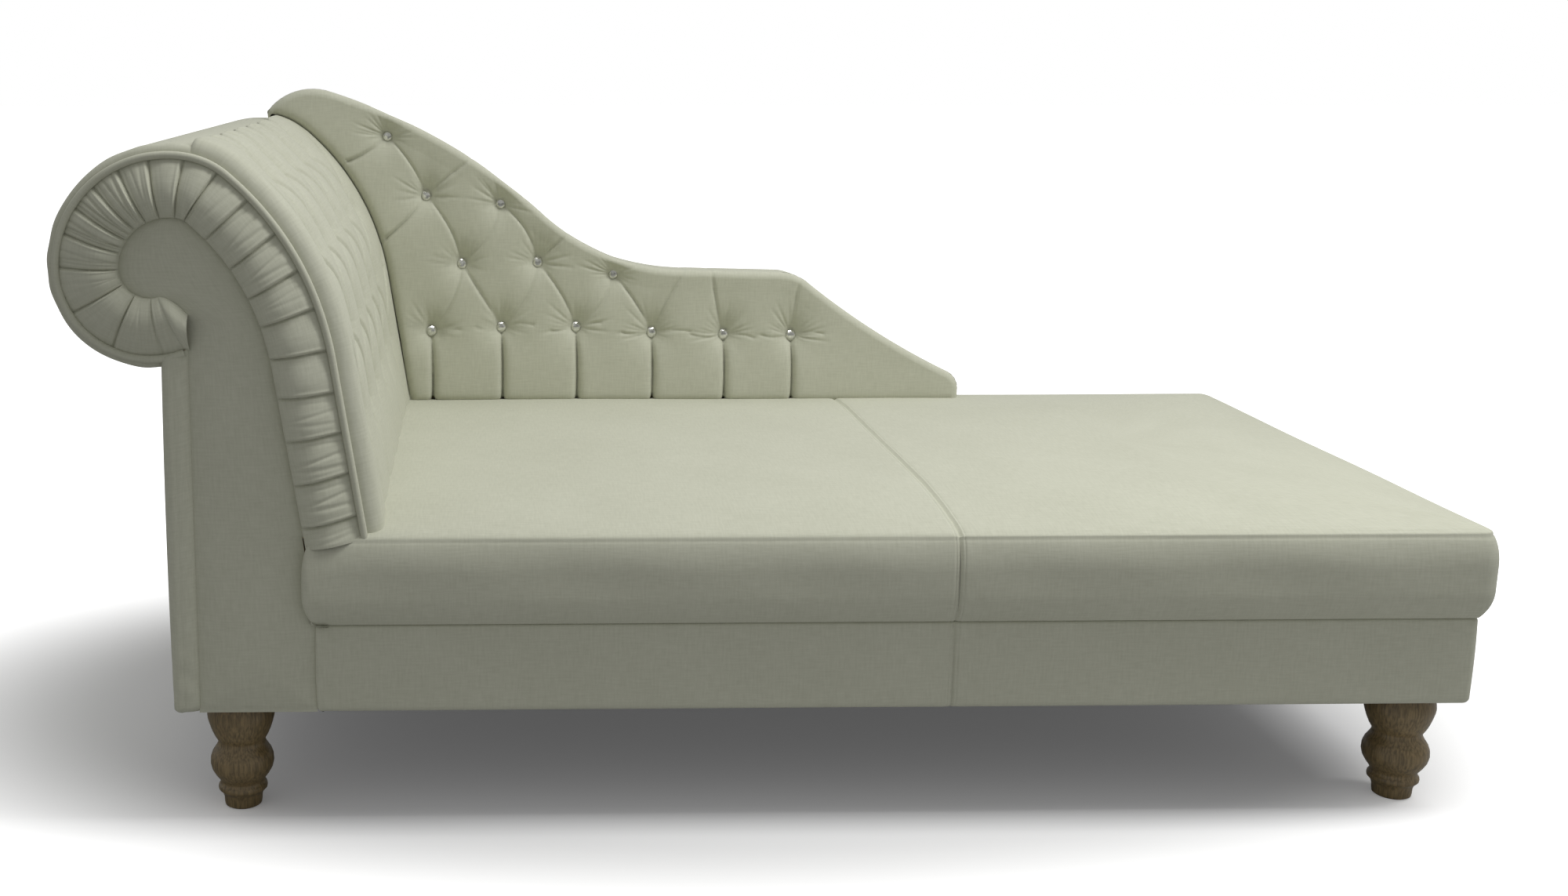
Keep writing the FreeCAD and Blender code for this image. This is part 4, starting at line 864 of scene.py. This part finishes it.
def boxing_profile():
    """Side of the seat from its foot to the top seam, as (out, up).

    It swells between its seams, turns in hard over its lowest third and leans in at the top."""
    height = SEAM_Z - SEAT_BASE
    foot = [(-30, SEAT_BASE - 0.4), (-22, SEAT_BASE - 0.6), (-17, SEAT_BASE - 0.3)]
    side = []
    for share in np.concatenate([[0.004, 0.02], np.linspace(0.045, 1, 46)]):
        swell = -TURN_IN * np.clip(1 - share / 0.36, 0, 1) ** 2.3
        swell -= LEAN_IN * np.clip((share - 0.6) / 0.4, 0, 1) ** 2.2
        side.append((swell, SEAT_BASE + height * share))
    return foot + side


def crown_over(x, y):
    """Height of the seat's top over its seam: rises fast behind the edge, then slowly."""
    front = np.clip((y + SEAT_SIDE) / 300, 0, 1)
    rear = np.clip((SEAT_SIDE - y) / 300, 0, 1)
    foot = np.clip((SEAT_END - x) / 300, 0, 1)
    return 1 - (1 - np.minimum(np.minimum(front, rear), foot)) ** 2.6


# %% Seat covers on both sides of the cross seam
SEAT_ROUND = 24.0
REAR_NOTCH = 411  # the seat's rear edge in front of the back board
BOARD_END = span("outside_back_cover", 0)[1] + 5
seat_profile = boxing_profile()
in_places = np.concatenate([[0, 1.2, 2.4, 3.6, 5, 6.5, 8.5, 11, 14, 18, 23, 29, 36, 46],
                            np.linspace(60, 449, 46)])


def seat_piece(name, node, corners, radii, at_start, at_end, inner):
    """Boxing and top in one grid: rows go up the side, over the seam and inwards."""
    line, outward = finer_ends(*plan_line(corners, radii))
    run = run_along(line)[None, :]
    share = (np.array(seat_profile)[:, 1][:, None] - SEAT_BASE) / (SEAM_Z - SEAT_BASE)
    share = np.clip(share, 0, 1)
    wave = 0.7 + 0.8 * np.sin(run / 43 + 4 * share) + 0.7 * np.sin(run / 97 + 1)
    ripple = wave * np.sin(math.pi * share) ** 0.8
    ripple = ripple - groove((1 - share) * SEAT_DEEP - 4, 1.7, 1.1, 0.8)
    ripple = ripple + end_roll(line, at_start, at_end, 3.2)
    side = swept(line, outward, seat_profile, ripple)
    edge = side[-1]
    target = inner(edge)
    reach = np.maximum(np.linalg.norm(target - edge[:, :2], axis=1), 1e-6)
    rows = []
    for inside in in_places[1:]:
        part = np.clip(inside / in_places[-1], 0, 1)
        flat = edge[:, :2] + (target - edge[:, :2]) * part
        height = SEAM_Z + (SEAT_TOP - SEAM_Z) * crown_over(flat[:, 0], flat[:, 1])
        gone = reach * part
        height = height + 3.5 * (1 - np.exp(-gone / 9)) - groove(gone - 4, 1.6, 0.6, 0.8)
        height = np.minimum(height, SEAT_TOP + 2.5)
        seam = np.abs(flat[:, 0] - SEAM_X)
        height = height - 3.2 * np.exp(-(seam / 2.6) ** 2) - groove(seam - 4.5, 1.6, 0.7)
        height = height + 0.6 * np.sin(flat[:, 0] / 83 + 1) * np.sin(flat[:, 1] / 71)
        rows.append(np.column_stack([flat, height]))
    upholster(name, node, 0.9, (np.concatenate([side, np.array(rows)]), None, False))


seat_piece("seat_cloth_head", "seat_cover_head",
           [(-SEAT_HEAD, -FRONT + 6), (-SEAT_HEAD, -SEAT_SIDE), (SEAM_X, -SEAT_SIDE)], (8.0,),
           False, True, lambda edge: np.column_stack([edge[:, 0], np.full(len(edge), 400.0)]))
seat_piece("seat_cloth_foot", "seat_cover_foot",
           [(SEAM_X, -SEAT_SIDE), (SEAT_END, -SEAT_SIDE), (SEAT_END, SEAT_SIDE),
            (BOARD_END, SEAT_SIDE), (BOARD_END, REAR_NOTCH), (SEAM_X, REAR_NOTCH)],
           (SEAT_ROUND, SEAT_ROUND, 14.0, 14.0), True, False,
           lambda edge: np.column_stack([np.minimum(edge[:, 0], 560.0), np.zeros(len(edge))]))

# %% Seat pad
PAD_HEAD, PAD_INSET, PAD_REAR = -560, 26, 44  # its head end, and how far it stays inside


def pad_of_foam():
    """Block with soft edges: a rounded profile swept round the plan, drawn in above and below."""
    front, rear, foot = -SEAT_SIDE + PAD_INSET, SEAT_SIDE - PAD_REAR, SEAT_END - PAD_INSET
    line, outward = plan_line([(PAD_HEAD, front), (foot, front), (foot, rear), (PAD_HEAD, rear),
                               (PAD_HEAD, front)], (18.0,) * 3, 30.0)
    turn = np.linspace(-math.pi / 2, math.pi / 2, 13)
    middle, half = (SEAT_BASE + SEAM_Z) / 2, (SEAM_Z - SEAT_BASE) / 2 - 3
    profile = [(-400, middle - half)]
    profile += [(12 * math.cos(a) - 12, middle + half * math.sin(a)) for a in turn]
    profile += [(-120, middle + half + 8), (-400, middle + half + 10)]
    return swept(line, outward, profile)


FOAM = new_finish("cream_cut_foam", Roughness=0.95)[0]
dress(join_grids("seat_foam_pad", [(pad_of_foam(), None, False)], FOAM), ["seat_foam"])

# %% [markdown]
# ## Feet, crystals and the plain outside
#
# The feet are turned, so one profile of radii and heights spun round an axis gives all of them.
# A crystal is a cut stone with flat facets, and stays flat shaded so that each facet mirrors the
# room on its own. The outside of the back is one plain piece of cloth.

# %% Wood and crystal finishes
def cut_crystal():
    """Foiled glass crystal: clear gloss over a silver foil, facets a little uneven in tone."""
    material, shader = new_finish("foiled_glass_crystal", Roughness=0.06, Metallic=0.75,
                                  Coat_Weight=1.0, Coat_Roughness=0.02)
    place = add_node(material, "TexCoord").outputs["Object"]
    cells = add_node(material, "TexVoronoi", {"Scale": 190.0}, {"Vector": place})
    mixed = two_tones(material, cells.outputs["Distance"], (0, "F4F4EE"), (1, "B9BAB0"))
    material.node_tree.links.new(mixed, shader.inputs["Base Color"])
    return material


# Stained dark grey-brown, with the grain along the foot's height.
BEECH = grained("stained_beech", "927D56", "655638", (420, 420, 26), 0.42, relief=0.2,
                stops=(0.35, 0.68), depth=0.0003, Coat_Weight=0.25, Coat_Roughness=0.3)
CRYSTAL = cut_crystal()

# %% Turned feet
FOOT_PROFILE = [(0, 0), (21, 0), (23.4, 1.5), (24, 5), (24.5, 12), (26, 17), (28.5, 20),
                (31, 22.5), (31.4, 25), (31, 27.5), (29, 30), (28, 33), (30, 37), (34.5, 43),
                (38.5, 50), (40.5, 58), (40, 66), (37.5, 73), (33.5, 79), (30.6, 84), (30, 88),
                (31.5, 91), (34.5, 96), (37.5, 103), (40.5, 112), (42.6, 120), (43, 124),
                (42.4, 130), (40.5, 138), (37, 150), (0, 150)]


def turned_feet(name, node, centres):
    """Feet as surfaces of revolution: radius times the cosine and sine of the turn."""
    radii, heights = np.array(FOOT_PROFILE, float).T
    fine = np.linspace(0, len(radii) - 1, 3 * len(radii) - 2)
    radii = np.interp(fine, np.arange(len(radii)), radii)
    heights = np.interp(fine, np.arange(len(heights)), heights)
    turn = np.linspace(0, 2 * math.pi, 49)
    grids = []
    for x, y in centres:
        grid = np.stack(np.broadcast_arrays(x + radii[:, None] * np.cos(turn),
                                            y + radii[:, None] * np.sin(turn),
                                            heights[:, None]), axis=2)
        grids.append((grid, None, False))
    dress(join_grids(name, grids, BEECH), [node])


FOOT_X, FOOT_Y = (-683, 817), 372  # places of the feet along and across the piece
turned_feet("turned_feet_front", "front_feet", [(x, -FOOT_Y) for x in FOOT_X])
turned_feet("turned_feet_rear", "rear_feet", [(x, FOOT_Y) for x in FOOT_X])


# %% Crystals
STONE = [(8.4, -3), (9.2, 0), (9.0, 1.2), (6.6, 3.6), (4.4, 4.6), (0, 4.9)]  # radius, height


def crystals(name, node, places):
    """Round brilliants: a girdle, a sloping crown of twelve facets and a table on top."""
    grids, number = [], 12
    turn = np.linspace(0, 2 * math.pi, number + 1)
    for centre, axis in places:
        centre, axis = np.array(centre, float), np.array(axis, float)
        across = np.cross(axis, (0, 1, 0) if abs(axis[1]) < 0.9 else (0, 0, 1))
        across /= np.linalg.norm(across)
        other = np.cross(axis, across)
        rings = []
        for step, (radius, height) in enumerate(STONE):
            angle = turn + (step % 2) * math.pi / number
            rings.append(centre + radius * (np.cos(angle)[:, None] * across
                                            + np.sin(angle)[:, None] * other) + height * axis)
        grids.append((np.array(rings), None, False))
    piece = join_grids(name, grids, CRYSTAL)
    piece.data.polygons.foreach_set("use_smooth", np.zeros(len(piece.data.polygons), bool))
    dress(piece, [node])


back_places = np.array([centre for row in rows for centre in row])
back_depth = back_relief(back_places[:, 0], back_places[:, 1])
print("pits of the back are", np.round(back_depth, 1), "mm deep")
crystals("back_crystals", "back_buttons",
         [((x, BACK_FACE + depth - 2.5, z), (0, -1, 0))
          for (x, z), depth in zip(back_places, back_depth)])
arm_places = []
for along, side_y in arm_buttons:
    inner, outer = (np.array(follow(SCROLL, along, offset)) for offset in (0.0, 1.0))
    out = outer - inner
    depth = float(arm_relief(np.array([[along]]), np.array([[side_y]]))[0, 0])
    seat_x, seat_z = inner + out * (QUILT - depth + 1.5)
    arm_places.append(((seat_x, side_y, seat_z), (out[0], 0, out[1])))
crystals("arm_crystals", "arm_buttons", arm_places)

# %% Outside of the back
def between(x, low, high):
    """Panel at the rear: rows shared evenly between a lower and an upper line, rims rolled in."""
    rows = np.concatenate([[0, 0.004, 0.01, 0.02], np.linspace(0.04, 0.98, 40), [0.992, 1]])
    z = low + (high - low) * rows[:, None]
    y = BACK_REAR - 0.4 - rounded_front(z - low, 4) - rounded_front(high - z, 3)
    return np.stack(np.broadcast_arrays(x, y, z), axis=2)


edge_x, edge_z = evenly(*follow(BACK, np.linspace(0, length_of(BACK), 900), 9.0), 300)
roll_x, roll_z = follow(SCROLL, np.linspace(ROLL_END, TUFTED - 120, 200), ROLL_PROUD - 2)
far = int(np.argmin(roll_x))
x = np.linspace(-ARM_SIDE + 1, BOARD_END - 5, 300)
high = np.maximum(np.interp(x, edge_x, edge_z, left=0),
                  np.interp(x, roll_x[far:], roll_z[far:], right=0))
back_panel = between(x, np.full_like(x, PLINTH_BASE), high)
x = roll_x[far] + 0.2 + (-ARM_SIDE + 2 - roll_x[far]) * np.linspace(0, 1, 60) ** 2
roll_panel = between(x, np.interp(x, roll_x[:far + 1][::-1], roll_z[:far + 1][::-1]),
                     np.interp(x, roll_x[far:], roll_z[far:]))
upholster("outside_back_cloth", "outside_back_cover", 0.2, (back_panel, None, True),
          (roll_panel, None, True))

# %% [markdown]
# ## What the covers hide
#
# The rails, boards, webbing and cloth inside keep their CAD shape, as do the foams of arm and
# back. Each gets the finish of its own material, so that the model still reads right when a
# cover is taken off.

# %% Finishes of the inner pieces
INNER = {
    grained("sawn_beech", "C9A273", "AF8656", (12, 260, 260), 0.7):
        ["front_rail", "rear_rail"],
    grained("sawn_beech_crosswise", "C9A273", "AF8656", (260, 12, 260), 0.7):
        ["head_end_rail", "foot_end_rail", "arm_bearer_rail", "cross_rails", "arm_slats",
         "back_battens"],
    grained("sawn_beech_upright", "C9A273", "AF8656", (260, 260, 12), 0.7): ["corner_blocks"],
    grained("birch_plywood", "D8BC8E", "C4A475", (30, 200, 14), 0.65):
        ["arm_front_former", "arm_middle_former", "back_board"],
    grained("grey_liner_board", "A79C8A", "8F8574", (300, 300, 300), 0.9): ["arm_liner_board"],
    grained("cream_open_foam", "E6DDB9", "D3C897", (520, 520, 520), 0.95, relief=0.8):
        ["seat_foam", "arm_foam", "back_foam"],
    grained("grey_wool_felt", "8F8D88", "6E6C68", (350, 350, 350), 1.0, Sheen_Weight=0.4):
        ["seat_felt"],
    grained("black_elastic_webbing", "2E2B29", "171615", (60, 900, 60), 0.85):
        ["webbing_long_straps"],
    grained("black_elastic_webbing_crosswise", "2E2B29", "171615", (900, 60, 60), 0.85):
        ["webbing_cross_straps"],
    grained("black_spunbonded_cloth", "242424", "141414", (500, 500, 500), 0.95):
        ["dust_cover"],
    grained("zinc_plated_steel", "BDBFC2", "9A9DA1", (200, 200, 200), 0.35, relief=0.05,
            Metallic=1.0): ["foot_bolts"],
}
for finish, nodes in INNER.items():
    for node in nodes:
        mesh = frame["nodes"][node].data
        mesh.materials.clear()
        mesh.materials.append(finish)
print("inner pieces finished:", sum(len(nodes) for nodes in INNER.values()))

# %% [markdown]
# ## Floor, light and camera
#
# The photograph is a studio cut-out: light falls from a wide soft source overhead, the fronts are
# much darker than the tops, and the floor fades into white. The floor here keeps the shadow near
# the piece and glows white to the camera farther out, and the world gives only a weak fill.

# %% Floor
FLOOR_TONE, FLOOR_BOUNCE = "F2F2F2", "AEAEAE"
floor_material, floor_shader = new_finish("pale_studio_floor", Roughness=0.9,
                                          Specular_IOR_Level=0.0)
place = add_node(floor_material, "TexCoord").outputs["Object"]
# Lengths over the shadow's half width and half depth, so that one is the rim of an ellipse.
scaled = add_node(floor_material, "Mapping", {"Scale": (1.0, 1.8, 1.0)}, {"Vector": place})
away = add_node(floor_material, "VectorMath", {"operation": "LENGTH"},
                {0: scaled.outputs["Vector"]})
# Near the piece the floor also glows faintly to the camera: painted light that lifts its shadow.
# Farther out it glows white.
glow = add_node(floor_material, "MapRange",
                {"interpolation_type": "SMOOTHSTEP", "From Min": 0.9, "From Max": 1.6,
                 "To Min": 0.075, "To Max": 1.0}, {"Value": away.outputs["Value"]})
camera_ray = add_node(floor_material, "LightPath").outputs["Is Camera Ray"]
seen = add_node(floor_material, "Math", {"operation": "MULTIPLY"},
                {0: glow.outputs["Result"], 1: camera_ray})
floor_shader.inputs["Emission Color"].default_value = (1, 1, 1, 1)
floor_material.node_tree.links.new(seen.outputs[0], floor_shader.inputs["Emission Strength"])
# The floor is duller to bounced light, so that the low fronts darken as in the photograph.
tone = add_node(floor_material, "Mix", {"data_type": "RGBA", "A": colour(FLOOR_BOUNCE),
                                        "B": colour(FLOOR_TONE)}, {"Factor": camera_ray})
floor_material.node_tree.links.new(tone.outputs["Result"], floor_shader.inputs["Base Color"])

side = np.linspace(-30, 30, 3)
floor_x, floor_y = np.meshgrid(side, side)
floor_points = np.stack([floor_x, floor_y, np.zeros_like(floor_x)], axis=2) * 1000
join_grids("studio_floor", [(floor_points, None, False)], floor_material)


# %% Lights
def softbox(name, place, size, power, tilt=(0, 0, 0)):
    """Rectangular area light that looks down, then tilts."""
    data = bpy.data.lights.new(name, "AREA")
    data.shape = "RECTANGLE"
    data.size, data.size_y = size
    data.energy = power
    lamp = bpy.data.objects.new(name, data)
    bpy.context.scene.collection.objects.link(lamp)
    lamp.location = place
    lamp.rotation_euler = [math.radians(angle) for angle in tilt]
    lamp.visible_camera = False


softbox("overhead_strip", (1.15, -0.5, 2.35), (2.8, 0.5), 37, (0, 20, 0))
softbox("wide_overhead", (0.4, 0.1, 3.6), (4.0, 3.0), 22)

world = bpy.data.worlds.new("pale_studio")
bpy.context.scene.world = world
world.use_nodes = True
white = (1, 1, 1, 1)
nodes = world.node_tree.nodes
fill = nodes["Background"]
fill.inputs["Color"].default_value = white
fill.inputs["Strength"].default_value = 0.37
bright = add_node(world, "Background", {"Color": white})
camera_ray = add_node(world, "LightPath").outputs["Is Camera Ray"]
mix = add_node(world, "MixShader", {}, {0: camera_ray, 1: fill.outputs[0], 2: bright.outputs[0]})
world.node_tree.links.new(mix.outputs[0], nodes["World Output"].inputs[0])

# %% Camera, worked out from the perspective of the seat and the feet in the photograph
camera_data = bpy.data.cameras.new("studio_camera")
camera_data.lens = 39.79
camera_data.sensor_width = 36
camera_data.sensor_fit = "HORIZONTAL"
camera_data.shift_x = 0.1689
camera_data.shift_y = -0.0458
camera = bpy.data.objects.new("studio_camera", camera_data)
bpy.context.scene.collection.objects.link(camera)
camera.location = (-0.3663, -2.4846, 0.9532)
camera.rotation_euler = (math.radians(90 - 10.539), 0, math.radians(-1.081))
bpy.context.scene.camera = camera
bpy.context.scene.view_settings.view_transform = "Standard"
